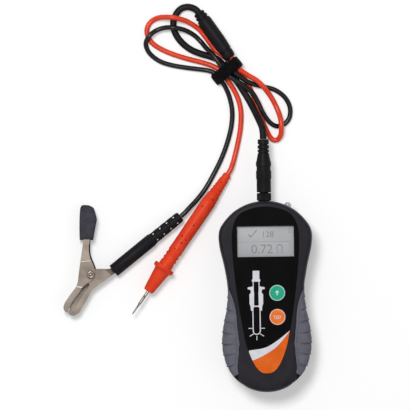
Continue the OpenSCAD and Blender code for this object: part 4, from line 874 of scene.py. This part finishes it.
def makeKey(name, node, body, y, material, icon):
    x = keySize["x"]
    bm = bmesh.new()
    spinShape(bm, keyProfile, keyRim["steps"])
    bmesh.ops.translate(bm, vec=(x, y, 0), verts=bm.verts)
    makePiece(name, bm, material, body=body, stands=[node], sharp=30)
    bm = bmesh.new()
    stripe(bm, ringPoints(x, y, keyRim["radius"], keyRim["steps"]), keyRim["width"], keyTop - 0.02, closed=True)
    icon(bm, x, y, keyTop - 0.01)
    makePiece(name + "Print", bm, printWhite, body=body)


def lampIcon(bm, x, y, z):
    # a small lamp: round head, narrow neck
    flatShape(bm, arcPoints(x, y + 0.6, 1.1, 1.1, -50, 280, 18), z)
    stripe(bm, [(x, y - 0.2), (x, y - 1.7)], 0.9, z)


def coilIcon(bm, x, y, z):
    # a heater coil: three loops side by side with a lead at each end
    for k in (-1, 0, 1):
        stripe(bm, arcPoints(x + 1.35 * k, y - 0.2, 0.85, 1.05)[:-1], 0.36, z, closed=True)
    for side in (-1, 1):
        stripe(bm, [(x + side * 2.2, y + 0.2), (x + side * 2.9, y + 1.1)], 0.36, z)


makeKey("greenKey", "green_key", "green_key_cap", keySize["green"], keyGreen, lampIcon)
makeKey("orangeKey", "orange_key", "orange_key_cap", keySize["orange"], keyOrange, coilIcon)
print("stage: keys")

# torch lamp, socket and plug: profiles of (radius, distance along the case)
socketAxis = {"x": -0.5, "z": 15.4}
lampProfile = [(0, 0), (2.9, 0), (2.9, 1), (2.5, 1)] + arcPoints(0, 6.1, 2.5, 2.5, 0, 90, 8)
collarProfile = [(3.4, 5.5), (3.4, 4.8), (4.35, 4.7), (4.35, 0), (4.9, 0), (5.25, 0.3), (5.25, 0.5),
                 (5.25, 4.9), (5.25, 5.2), (4.95, 5.5), (3.4, 5.5)]
collarRibs = {"low": 0.45, "high": 4.95, "radius": 5, "count": 24, "depth": 0.45}
plugProfile = [(0, -10), (3.2, -10), (3.2, 0), (4.9, 0), (5.27, 0.35), (5.27, 9.7), (5.6, 10.2), (5.6, 15.8),
               (5.15, 16.1), (5.15, 18.9), (5.6, 19.2), (5.6, 22), (5.3, 22.7), (4.8, 22.8), (0, 22.8)]
plugRibs = {"low": 9.9, "high": 16, "radius": 5.5, "count": 18, "depth": 0.25}
bootProfile = [(0, 0), (5.2, 0), (5, 1), (4.4, 4.4), (4.2, 5.6), (4.2, 5.9), (3.6, 6.1), (3.6, 6.6),
               (4.25, 6.8), (4.25, 8.4), (3.3, 8.6), (3.3, 9.2), (4.2, 9.4), (4.2, 11.6), (3.2, 11.8),
               (3.2, 12.4), (4.1, 12.6), (4.1, 15.5), (3.7, 16.1), (0, 16.1)]


def alongCase(name, profile, y, material, node, ribs=None, steps=56, x=socketAxis["x"]):
    bm = bmesh.new()
    spinShape(bm, profile, steps)
    if ribs:
        # knurl: points between two heights move in on every other step
        for v in bm.verts:
            r = math.hypot(v.co.x, v.co.y)
            if ribs["low"] < v.co.z < ribs["high"] and r > ribs["radius"]:
                turn = math.atan2(v.co.y, v.co.x) * ribs["count"]
                share = 1 - ribs["depth"] * (0.5 - 0.5 * math.cos(turn)) / r
                v.co.x *= share
                v.co.y *= share
    turnAndPlace(bm, -90, (x, y, socketAxis["z"]), "X")
    return makePiece(name, bm, material, stands=[node])


alongCase("torchLamp", lampProfile, 60.4, lampClear, "torch_led", x=16.8)
alongCase("socketCollar", collarProfile, 70.2, plugBlack, "socket_collar", collarRibs, 144)
leadPlug = alongCase("leadPlug", plugProfile, 76.2, plugBlack, "lead_plug", plugRibs, 108)
plugBoot = alongCase("plugBoot", bootProfile, 99, plugBlack, "plug_boot")
print("stage: plug")


# splitter: its profile in shares of radius and length, from the cable's end
splitterSetup = {"end": (-46.6, 208.9, 4.75), "turn": -55.6, "lean": 5.5, "length": 40.8, "radius": 5.3}
splitterShares = [
    (0, 0), (0.6, 0), (0.74, 0.012), (0.78, 0.02), (0.78, 0.045), (0.68, 0.052), (0.68, 0.07), (0.82, 0.078),
    (0.87, 0.09), (0.87, 0.118), (0.74, 0.126), (0.74, 0.146), (0.9, 0.155), (0.98, 0.18), (1, 0.22),
    (1, 0.6), (0.97, 0.72), (0.9, 0.845), (0.8, 0.855), (0.8, 0.872), (0.87, 0.88), (0.86, 0.94),
    (0.78, 0.985), (0.7, 1), (0, 1)]


def makeSplitter():
    bm = bmesh.new()
    spinShape(bm, scaled(splitterShares, splitterSetup["radius"], splitterSetup["length"]), 56)
    placeAlong(bm, splitterSetup["end"], wayOf(splitterSetup["turn"], splitterSetup["lean"]))
    return makePiece("leadSplitter", bm, sleeveBlack, stands=["lead_splitter"])


# strap
strapSetup = {"place": (-26.3, 165.9, 0), "turn": 38.3, "halfWide": 12.1, "wide": 10, "thick": 1.2,
              "wave": 0.4, "waves": 5, "ripple": 0.06, "ripples": 9, "tight": 0.86, "lean": 0.03,
              "pinch": 2.2, "pinchFrom": 0.9, "tabHalf": 4, "tabThick": 0.9, "tabEnd": 0.9}
# the band's path round the bundle, which bulges where the leads press, and its loose end, as (across, up)
strapPath = [(-10.5, 0.5), (0, 0.1), (9.9, 0.5), (11.8, 2.4), (12.1, 5.4), (11.7, 8.6), (9.5, 11.8), (4, 12.1),
             (0, 12.2), (-4.5, 11.8), (-8, 9.7), (-11.3, 6.2), (-12.1, 3.4)]
tabPath = [(8.6, 11.9), (5, 12.75), (1, 12.85), (-2.4, 12.6), (-4.2, 12.9)]


def makeStrap():
    path = smoothLine(strapPath, 6, closed=True)
    rings = []
    for i, p in enumerate(path):
        out, turn = wayRight(wayAlong(path, i, closed=True)), 2 * math.pi * i / len(path)
        wave = strapSetup["wave"] * math.sin(strapSetup["waves"] * turn)
        ripple = strapSetup["ripple"] * math.sin(strapSetup["ripples"] * turn)
        off = p[0] / strapSetup["halfWide"]
        half = strapSetup["wide"] / 2 * (strapSetup["tight"] - strapSetup["lean"] * off + ripple)
        half *= 1 - strapSetup["pinch"] * max(0, abs(off) - strapSetup["pinchFrom"])
        inner = p - out * strapSetup["thick"]
        rings.append([(p[0], wave - half, p[1]), (p[0] + 0.15 * out[0], 0, p[1] + 0.15 * out[1]),
                      (p[0], half + wave, p[1]), (inner[0], half + wave, inner[1]), (inner[0], 0, inner[1]),
                      (inner[0], wave - half, inner[1])])
    bm = bmesh.new()
    loft(bm, rings + rings[:1], caps=(False, False))
    # the loose end, pressed down on top
    tab = smoothLine(tabPath, 5)
    rings = []
    for i, (x, z) in enumerate(tab):
        half = strapSetup["tabHalf"] * (1 if i < len(tab) - 3 else strapSetup["tabEnd"])
        under = z - strapSetup["tabThick"]
        rings.append([(x, -half, z), (x, half, z), (x, half, under), (x, -half, under)])
    loft(bm, rings)
    turnAndPlace(bm, strapSetup["turn"], strapSetup["place"])
    return makePiece("bundleStrap", bm, strapPile, stands=["bundle_strap"], sharp=50)


splitter = makeSplitter()
strap = makeStrap()
print("stage: splitter and strap")

# crocodile clip
clipSetup = {"pivot": (-128.3, 17.6, 6.2), "turn": 241.8, "jaw": 33, "height": 10.4, "sheet": 0.7, "gap": 0.3,
             "fold": 0.25, "lineSteps": 3}
sleeveSetup = {"place": (-10.2, 13.5, 0), "turn": 156.6, "radius": 4.9, "length": 63.4, "neck": 0.89,
               "taper": 0.012, "slots": 4, "firstSlot": 0.625, "slotPitch": 0.1, "slotWide": 0.75,
               "slotLong": 1.15, "slotOut": 0.53}
# its profile in shares of radius and length: the body, a groove round each slot and the end
sleeveBody = [(0, 0.25), (0.78, 0.25), (0.78, 0.02), (0.78, 0), (0.95, 0), (1, 0.008), (1, 0.568),
              (0.93, 0.576), (0.9, 0.6)]
sleeveGroove = [(0, -0.022), (-0.03, -0.018), (-0.03, 0.018), (0, 0.022)]
sleeveEnd = [(0.82, 0.975), (0.76, 0.993), (0.68, 1), (0, 1)]
# how the fixed jaw's tongue is pinched to enter the sleeve
tongueSetup = {"half": 2.7, "start": -4, "over": 5, "flatten": 0.4}
# outlines in shares of the jaw's length, from the pivot along the jaw
movingShares = [
    (-1.0, -0.525), (-0.68, -0.373), (-0.53, -0.318), (-0.36, -0.209), (-0.22, -0.048), (-0.14, 0.03),
    (0, 0.1), (0.145, 0.064), (0.245, 0.003), (0.436, -0.064), (0.655, -0.1), (0.833, -0.106),
    (0.915, -0.094), (0.975, -0.085), (0.985, -0.13), (0.95, -0.185), (0.9, -0.212), (0.812, -0.227),
    (0.585, -0.2), (0.339, -0.17), (0.088, -0.252), (-0.158, -0.342), (-0.367, -0.412), (-0.612, -0.503),
    (-0.96, -0.655)]
fixedShares = [
    (-0.67, 0.648), (-0.73, 0.503), (-0.336, 0.306), (-0.164, 0.036), (0, -0.1), (0.15, 0), (0.218, 0.079),
    (0.352, 0.058), (0.536, 0.042), (0.77, 0.027), (0.88, -0.008), (0.91, -0.06), (0.96, -0.062),
    (0.993, -0.02), (1, 0.03), (0.97, 0.09), (0.87, 0.158), (0.767, 0.161), (0.536, 0.176), (0.355, 0.182),
    (0.248, 0.203), (0.064, 0.291), (-0.267, 0.455)]


def toClip(bm):
    turnAndPlace(bm, clipSetup["turn"], clipSetup["pivot"])


def jawLine(shares, steps=clipSetup["lineSteps"], closed=True):
    return smoothLine(scaled(shares, clipSetup["jaw"], clipSetup["jaw"]), steps, closed)


def pinchTongue(bm):
    start, way = Vector(sleeveSetup["place"]), wayOf(sleeveSetup["turn"], 0)
    across = Vector((-way[1], way[0], 0))
    half, first, over = tongueSetup["half"], tongueSetup["start"], tongueSetup["over"]
    for k in range(over + 1):
        sliceAt(bm, start + way * (k + first), way)
    for v in bm.verts:
        deep = min(1, max(0, ((v.co - start).dot(way) - first) / over))
        off = (v.co - start).dot(across)
        v.co += across * (max(-half, min(half, off)) - off) * deep
        v.co.z *= 1 - tongueSetup["flatten"] * deep


def makeChannel(name, node, body, shares, height, webFrom, webTo):
    # two cheeks and the web that joins them between two of the outline's points, folded from one sheet
    line, steps = jawLine(shares), clipSetup["lineSteps"]
    count = len(line)
    bm = bmesh.new()
    for z in (-height / 2, height / 2):
        bm.faces.new([bm.verts.new((p[0], p[1], z)) for p in line])
    bm.verts.ensure_lookup_table()
    web = [k % count for k in range(webFrom * steps, webTo * steps + 1)]
    for a, b in zip(web, web[1:]):
        bm.faces.new([bm.verts[a], bm.verts[b], bm.verts[count + b], bm.verts[count + a]])
    bmesh.ops.recalc_face_normals(bm, faces=bm.faces)
    if node == "clip_fixed_jaw":
        pinchTongue(bm)
    toClip(bm)
    piece = makePiece(name, bm, clipNickel, body=body, stands=[node], sharp=30, merge=0)
    thick = piece.modifiers.new("sheet", "SOLIDIFY")
    thick.thickness = clipSetup["sheet"] * mm
    thick.offset = -1
    edge = piece.modifiers.new("fold", "BEVEL")
    edge.width = clipSetup["fold"] * mm
    edge.segments = 2
    edge.limit_method = "ANGLE"
    edge.angle_limit = math.radians(50)
    piece.modifiers.new("flatCheeks", "WEIGHTED_NORMAL")


innerHeight = clipSetup["height"] - 2 * clipSetup["sheet"] - 2 * clipSetup["gap"]
makeChannel("movingJaw", "clip_moving_jaw", "clip_lever", movingShares, clipSetup["height"], 14, 25)
makeChannel("fixedJaw", "clip_fixed_jaw", "tester", fixedShares, innerHeight, 14, 23)
linerSetup = {"low": -3.2, "high": -2.6, "shares": [
    (0.17, 0.02), (0.3, -0.03), (0.46, -0.05), (0.66, -0.085), (0.83, -0.092), (0.89, -0.06), (0.88, 0.02),
    (0.77, 0.05), (0.536, 0.07), (0.352, 0.085), (0.22, 0.09)]}
# bend lines, in near-white nickel as a painted highlight, as (one end, other end, width)
foldSetup = {"under": 0.1, "over": 0.22, "crest": 0.3, "lines": [
    ((-0.155, -0.335), (-0.275, -0.15), 0.7), ((0.378, -0.166), (0.335, -0.045), 0.9)]}
lipSetup = {"low": -4.6, "high": -4, "in": 0.8, "out": 0.5, "more": 0.5, "shares": [
    (-0.74, -0.4), (-0.6, -0.345), (-0.45, -0.27), (-0.34, -0.185), (-0.22, -0.048), (-0.14, 0.03),
    (-0.06, 0.09)]}


def makeJawLiner():
    # the fixed jaw's lower cheek seen through the opening
    line = jawLine(linerSetup["shares"])
    bm = bmesh.new()
    loft(bm, [[(p[0], p[1], z) for p in line] for z in (linerSetup["low"], linerSetup["high"])])
    toClip(bm)
    makePiece("jawLiner", bm, clipNickel)


def makeFolds():
    # raised bend lines pressed across the lever and its jaw, coloured near white as a painted highlight
    under = Vector((0, 0, clipSetup["height"] / 2 - foldSetup["under"]))
    over = Vector((0, 0, clipSetup["height"] / 2 + foldSetup["over"]))
    bm = bmesh.new()
    for start, end, wide in foldSetup["lines"]:
        a, b = [Vector((*place, 0)) * clipSetup["jaw"] for place in (start, end)]
        way = (b - a).normalized()
        across = Vector((-way[1], way[0], 0)) * wide / 2
        crest = across * foldSetup["crest"]
        loft(bm, [[p - across + under, p - crest + over, p + crest + over, p + across + under] for p in (a, b)])
    toClip(bm)
    makePiece("bendLinePaintedHighlights", bm, clipPaintedHighlight, body="clip_lever")


def makeNeckLip():
    # the lower cheek of the lever stands out past the upper one, in its shadow
    low, high = lipSetup["low"], lipSetup["high"]
    line = jawLine(lipSetup["shares"], 4, closed=False)
    rings = []
    for i, p in enumerate(line):
        left, out = -wayRight(wayAlong(line, i)), lipSetup["out"] + lipSetup["more"] * i / len(line)
        (ax, ay), (bx, by) = p - left * lipSetup["in"], p + left * out
        rings.append([(ax, ay, low), (bx, by, low), (bx, by, high), (ax, ay, high)])
    bm = bmesh.new()
    loft(bm, rings)
    toClip(bm)
    makePiece("neckLip", bm, clipShade, body="clip_lever")


makeJawLiner()
makeFolds()
makeNeckLip()
# the rivet from its upper head down to its lower one: (radius, height over the cheek)
rivetSetup = {"above": [(0, 0.65), (1.1, 0.6), (1.3, 0.45), (1.7, 0.6), (2.7, 0.5), (3.15, 0.2), (3.15, 0.1),
                        (1.9, 0.1)],
              "below": [(1.9, 0.1), (3.15, 0.1), (3.15, 0.2), (2.7, 0.55), (0, 0.65)]}


def makeRivet():
    half = clipSetup["height"] / 2
    bm = bmesh.new()
    above = [(r, half + z) for r, z in rivetSetup["above"]]
    spinShape(bm, above + [(r, -half - z) for r, z in rivetSetup["below"]], 40)
    toClip(bm)
    makePiece("clipRivet", bm, clipNickel, stands=["clip_rivet"])


thumbShares = [(0, -0.34), (0, 0), (0, 0.43), (0.03, 0.465), (0.3, 0.49), (0.6, 0.5), (0.86, 0.48),
               (0.96, 0.42), (1, 0.3), (1, 0), (0.99, -0.1), (0.93, -0.36), (0.8, -0.48), (0.62, -0.59),
               (0.56, -0.59), (0.3, -0.49), (0.03, -0.4)]
thumbSetup = {"place": (-21.4, -14.2, 0), "turn": 206.2, "length": 25.6, "width": 11.6, "height": 12,
              "middle": 0.52, "cuts": (0.76, 0.8, 0.84, 0.9, 0.95),
              "rounding": [(0.8, -1), (0.9, -0.97), (0.955, -0.9), (0.985, -0.8), (1, -0.6), (1, 0.6),
                           (0.985, 0.8), (0.955, 0.9), (0.88, 0.97), (0.78, 1)],
              "slope": [(0.76, 0), (0.79, 0.1), (0.84, 0.3), (1, 0.62)]}


def makeThumbGrip():
    # a dipped rubber grip: rings of its outline, drawn in towards the top and bottom
    length, middle = thumbSetup["length"], thumbSetup["length"] * thumbSetup["middle"]
    line = smoothLine(scaled(thumbShares, length, thumbSetup["width"]), 5, closed=True)
    bm = bmesh.new()
    loft(bm, [[((p[0] - middle) * share + middle, p[1] * share, z * thumbSetup["height"] / 2) for p in line]
              for share, z in thumbSetup["rounding"]])
    # the end slopes down from a soft ledge
    for share in thumbSetup["cuts"]:
        sliceAt(bm, (length * share, 0, 0), (1, 0, 0))
    for v in bm.verts:
        v.co.z *= 1 - stepped(thumbSetup["slope"], v.co.x / length)
    turnAndPlace(bm, thumbSetup["turn"], thumbSetup["place"])
    toClip(bm)
    makePiece("thumbGrip", bm, thumbRubber, body="clip_lever", stands=["clip_thumb_grip"],
              sharp=60)


def makeSleeve():
    r, long = sleeveSetup["radius"], sleeveSetup["length"]
    middles = [sleeveSetup["firstSlot"] + k * sleeveSetup["slotPitch"] for k in range(sleeveSetup["slots"])]
    shares = list(sleeveBody)
    for k, middle in enumerate(middles):
        wide = sleeveSetup["neck"] - sleeveSetup["taper"] * k
        shares += [(wide + a, middle + b) for a, b in sleeveGroove]
    shares += sleeveEnd
    bm, cuts = bmesh.new(), bmesh.new()
    spinShape(bm, scaled(shares, r, long), 72)
    # relief slots right through, in pairs either side of the lead
    slotSize = (4 * r, sleeveSetup["slotWide"], sleeveSetup["slotLong"])
    for middle in middles:
        for side in (-1, 1):
            roundedBlock(cuts, slotSize, (0, side * sleeveSetup["slotOut"] * r, middle * long), 0.3, 2)
    bm = cutAway(bm, cuts)
    placed = (Matrix.Rotation(math.radians(sleeveSetup["turn"]), 4, "Z")
              @ Matrix.Rotation(math.radians(90), 4, "Y"))
    bmesh.ops.transform(bm, matrix=Matrix.Translation(sleeveSetup["place"]) @ placed, verts=bm.verts)
    toClip(bm)
    return makePiece("clipSleeve", bm, sleeveBlack, stands=["clip_sleeve"])


# return spring round the rivet: the coil and one leg stay, the other leg and a short arc swing with the lever
springSetup = {"radius": 2.9, "wire": 0.42, "sides": 12, "start": -57.3, "sweep": 1171.7, "halfHigh": 2.5,
               "swingLeg": 13.6, "stayLeg": 10, "arc": 50}


def coilLine(sweep, rise, steps):
    r, start = springSetup["radius"], springSetup["start"]
    return [Vector((x, y, rise * k / steps - springSetup["halfHigh"]))
            for k, (x, y) in enumerate(arcPoints(0, 0, r, r, start, sweep, steps))]


def makeSpringWire(name, line, body, stands=()):
    section = ringPoints(0, 0, springSetup["wire"], springSetup["sides"])
    rings = []
    for i, p in enumerate(line):
        way = wayAlong(line, i)
        side = way.cross(Vector((0, 0, 1))).normalized()
        rise = side.cross(way)
        rings.append([p + side * x + rise * y for x, y in section])
    bm = bmesh.new()
    loft(bm, rings)
    toClip(bm)
    makePiece(name, bm, springSteel, body=body, stands=stands, sharp=60)


coil = coilLine(springSetup["sweep"], 2 * springSetup["halfHigh"], 96)
leave = (coil[-1] - coil[-2]).normalized()
makeSpringWire("springCoil", coil + [coil[-1] + leave * springSetup["stayLeg"]], "tester", ["clip_spring"])
arc = coilLine(springSetup["arc"], 0, 8)
enter = (arc[1] - arc[0]).normalized()
makeSpringWire("springLeg", [arc[0] - enter * springSetup["swingLeg"]] + arc, "clip_lever")

makeRivet()
makeThumbGrip()
clipSleeve = makeSleeve()
print("stage: clip")

# probe: its pieces' profiles in shares of a radius and of their own length
probeSetup = {"place": (-26.8, 89.9, 4.4), "turn": 234.9, "lean": 2.6, "length": 124.6, "nose": 0.658,
              "needle": 0.834, "handleRadius": 5.3, "noseRadius": 7.95, "needleRadius": 1.05}
probeWay = wayOf(probeSetup["turn"], probeSetup["lean"])
handleLength = probeSetup["nose"] * probeSetup["length"]
handleShares = [
    (0, 0), (0.44, 0), (0.53, 0.006), (0.58, 0.014), (0.58, 0.028), (0.54, 0.034), (0.56, 0.045),
    (0.64, 0.06), (0.67, 0.075), (0.63, 0.08), (0.71, 0.1), (0.64, 0.106), (0.75, 0.13), (0.67, 0.137),
    (0.8, 0.162), (0.71, 0.169), (0.83, 0.194), (0.75, 0.2), (0.9, 0.236), (0.925, 0.248), (0.9, 0.256),
    (0.9, 0.264), (0.97, 0.268), (0.97, 0.274), (0.93, 0.278), (0.93, 0.286), (0.99, 0.292), (1, 0.31),
    (1, 0.52), (0.98, 0.62), (0.965, 0.7), (0.975, 0.8), (1, 0.84), (0.9, 0.852), (0.9, 0.862), (1, 0.876),
    (1, 0.882), (0.9, 0.894), (0.9, 0.904), (1, 0.918), (1, 0.924), (0.9, 0.936), (0.9, 0.946), (1, 0.96),
    (1, 1), (0, 1)]
noseShares = [(0, 0), (0.96, 0), (1, 0.02), (1, 0.11), (0.96, 0.135), (0.84, 0.15), (0.76, 0.18),
              (0.72, 0.26), (0.5, 0.93), (0.44, 0.99), (0.4, 1), (0, 1)]
needleShares = [(0, -0.2), (1, -0.2), (1, 0.5), (0.95, 0.55), (0.64, 0.62), (0.6, 0.85), (0.45, 0.93),
                (0.12, 1), (0, 1)]


def onProbe(name, shares, radius, start, end, material, node, steps=56):
    # a turned piece from one share of the probe's length to another
    bm = bmesh.new()
    spinShape(bm, scaled(shares, radius, (end - start) * probeSetup["length"]), steps)
    placeAlong(bm, Vector(probeSetup["place"]) + probeWay * start * probeSetup["length"], probeWay)
    return makePiece(name, bm, material, stands=[node])


probeHandle = onProbe("probeHandle", handleShares, probeSetup["handleRadius"], 0, probeSetup["nose"], probeAbs,
                      "probe_handle")
onProbe("probeNose", noseShares, probeSetup["noseRadius"], probeSetup["nose"], probeSetup["needle"], probeAbs,
        "probe_nose")
onProbe("probeNeedle", needleShares, probeSetup["needleRadius"], probeSetup["needle"], 1, needleSteel,
        "probe_needle", 32)
# pits as (along the handle, angle round it, radius)
pitSetup = {"sides": 16, "deep": 0.3, "sunk": 0.12, "pits": [
    (8, -0.2, 0.42), (13.5, 0.45, 0.45), (22, 0.3, 0.5), (30, -0.4, 0.55), (45.5, 0.1, 0.6),
    (56.5, -0.45, 0.56), (57.5, 0.35, 0.5), (61, 0.05, 0.6), (67, -0.3, 0.5), (66, 0.3, 0.46)]}


def makePits():
    # small moulding pits down the handle, filled with shadow
    aside = Vector((-probeWay[1], probeWay[0], 0)).normalized()
    up = probeWay.cross(aside)
    widths = [(b, a) for a, b in handleShares[1:]]
    bm = bmesh.new()
    for along, turn, radius in pitSetup["pits"]:
        out = (up * math.cos(turn) + aside * math.sin(turn)).normalized()
        surface = stepped(widths, along / handleLength) * probeSetup["handleRadius"]
        centre = Vector(probeSetup["place"]) + probeWay * along + out * (surface - pitSetup["sunk"])
        made = bmesh.ops.create_cone(bm, cap_ends=True, segments=pitSetup["sides"], radius1=radius,
                                     radius2=radius, depth=pitSetup["deep"])["verts"]
        placeAlong(bm, centre, out, made)
    makePiece("handlePits", bm, pitRed)


makePits()
print("stage: probe")


# table, lamps and world
tableSetup = {"half": 4, "paint": "#dcdcdc", "glow": 0.33}


def seenRays(tree):
    # 1 for the rays that the camera sees straight, in a mirror or through glass, else 0
    rays = addNode(tree, "ShaderNodeLightPath").outputs
    seen = rays["Is Camera Ray"]
    for other in ("Is Glossy Ray", "Is Transmission Ray"):
        either = addNode(tree, "ShaderNodeMath", {"operation": "MAXIMUM"}, {0: seen, 1: rays[other]})
        seen = either.outputs["Value"]
    return seen


def makeTable():
    # part paint and part glow, so that the table fades into the background but keeps a shadow
    material = bpy.data.materials.new("whiteTable")
    tree = emptyTree(material)
    seen = seenRays(tree)
    glowing = addNode(tree, "ShaderNodeMath", {"operation": "MULTIPLY", 1: tableSetup["glow"]}, {0: seen})
    paint = addNode(tree, "ShaderNodeBsdfDiffuse", {"Color": toLinear(tableSetup["paint"])})
    power = glowing.outputs["Value"]
    glow = addNode(tree, "ShaderNodeEmission", {"Color": (1, 1, 1, 1)}, {"Strength": power})
    both = addNode(tree, "ShaderNodeAddShader", {}, {0: paint.outputs["BSDF"], 1: glow.outputs["Emission"]})
    addNode(tree, "ShaderNodeOutputMaterial", {}, {"Surface": both.outputs["Shader"]})
    bm = bmesh.new()
    bmesh.ops.create_grid(bm, x_segments=1, y_segments=1, size=tableSetup["half"])
    mesh = bpy.data.meshes.new("table")
    bm.to_mesh(mesh)
    bm.free()
    mesh.materials.append(material)
    table = linked(bpy.data.objects.new("table", mesh))


lampTarget = (-0.03, 0.06, 0)
lamps = [
    {"name": "keyLamp", "place": (-0.38, 0.62, 1.95), "size": 0.55, "power": 28},
    {"name": "fillLamp", "place": (1.1, -0.5, 1.5), "size": 1.4, "power": 3}]


def addLamp(lamp):
    light = bpy.data.lights.new(lamp["name"], "AREA")
    light.energy = lamp["power"]
    light.size = lamp["size"]
    holder = linked(bpy.data.objects.new(lamp["name"], light))
    holder.location = lamp["place"]
    aim = Vector(lampTarget) - Vector(lamp["place"])
    holder.rotation_euler = aim.to_track_quat("-Z", "Y").to_euler()


# how bright the room is as a light and where it is seen
roomSetup = {"lit": 0.3, "seen": 1.0}


def setWorld():
    world = bpy.data.worlds.new("paleRoom")
    tree = emptyTree(world)
    strength = addNode(tree, "ShaderNodeMapRange", {"To Min": roomSetup["lit"], "To Max": roomSetup["seen"]},
                       {"Value": seenRays(tree)})
    power = strength.outputs["Result"]
    back = addNode(tree, "ShaderNodeBackground", {"Color": (1, 1, 1, 1)}, {"Strength": power})
    addNode(tree, "ShaderNodeOutputWorld", {}, {"Surface": back.outputs["Background"]})
    bpy.context.scene.world = world


makeTable()
for lamp in lamps:
    addLamp(lamp)
setWorld()
bpy.context.scene.view_settings.view_transform = "Standard"
print("stage: table and lamps")
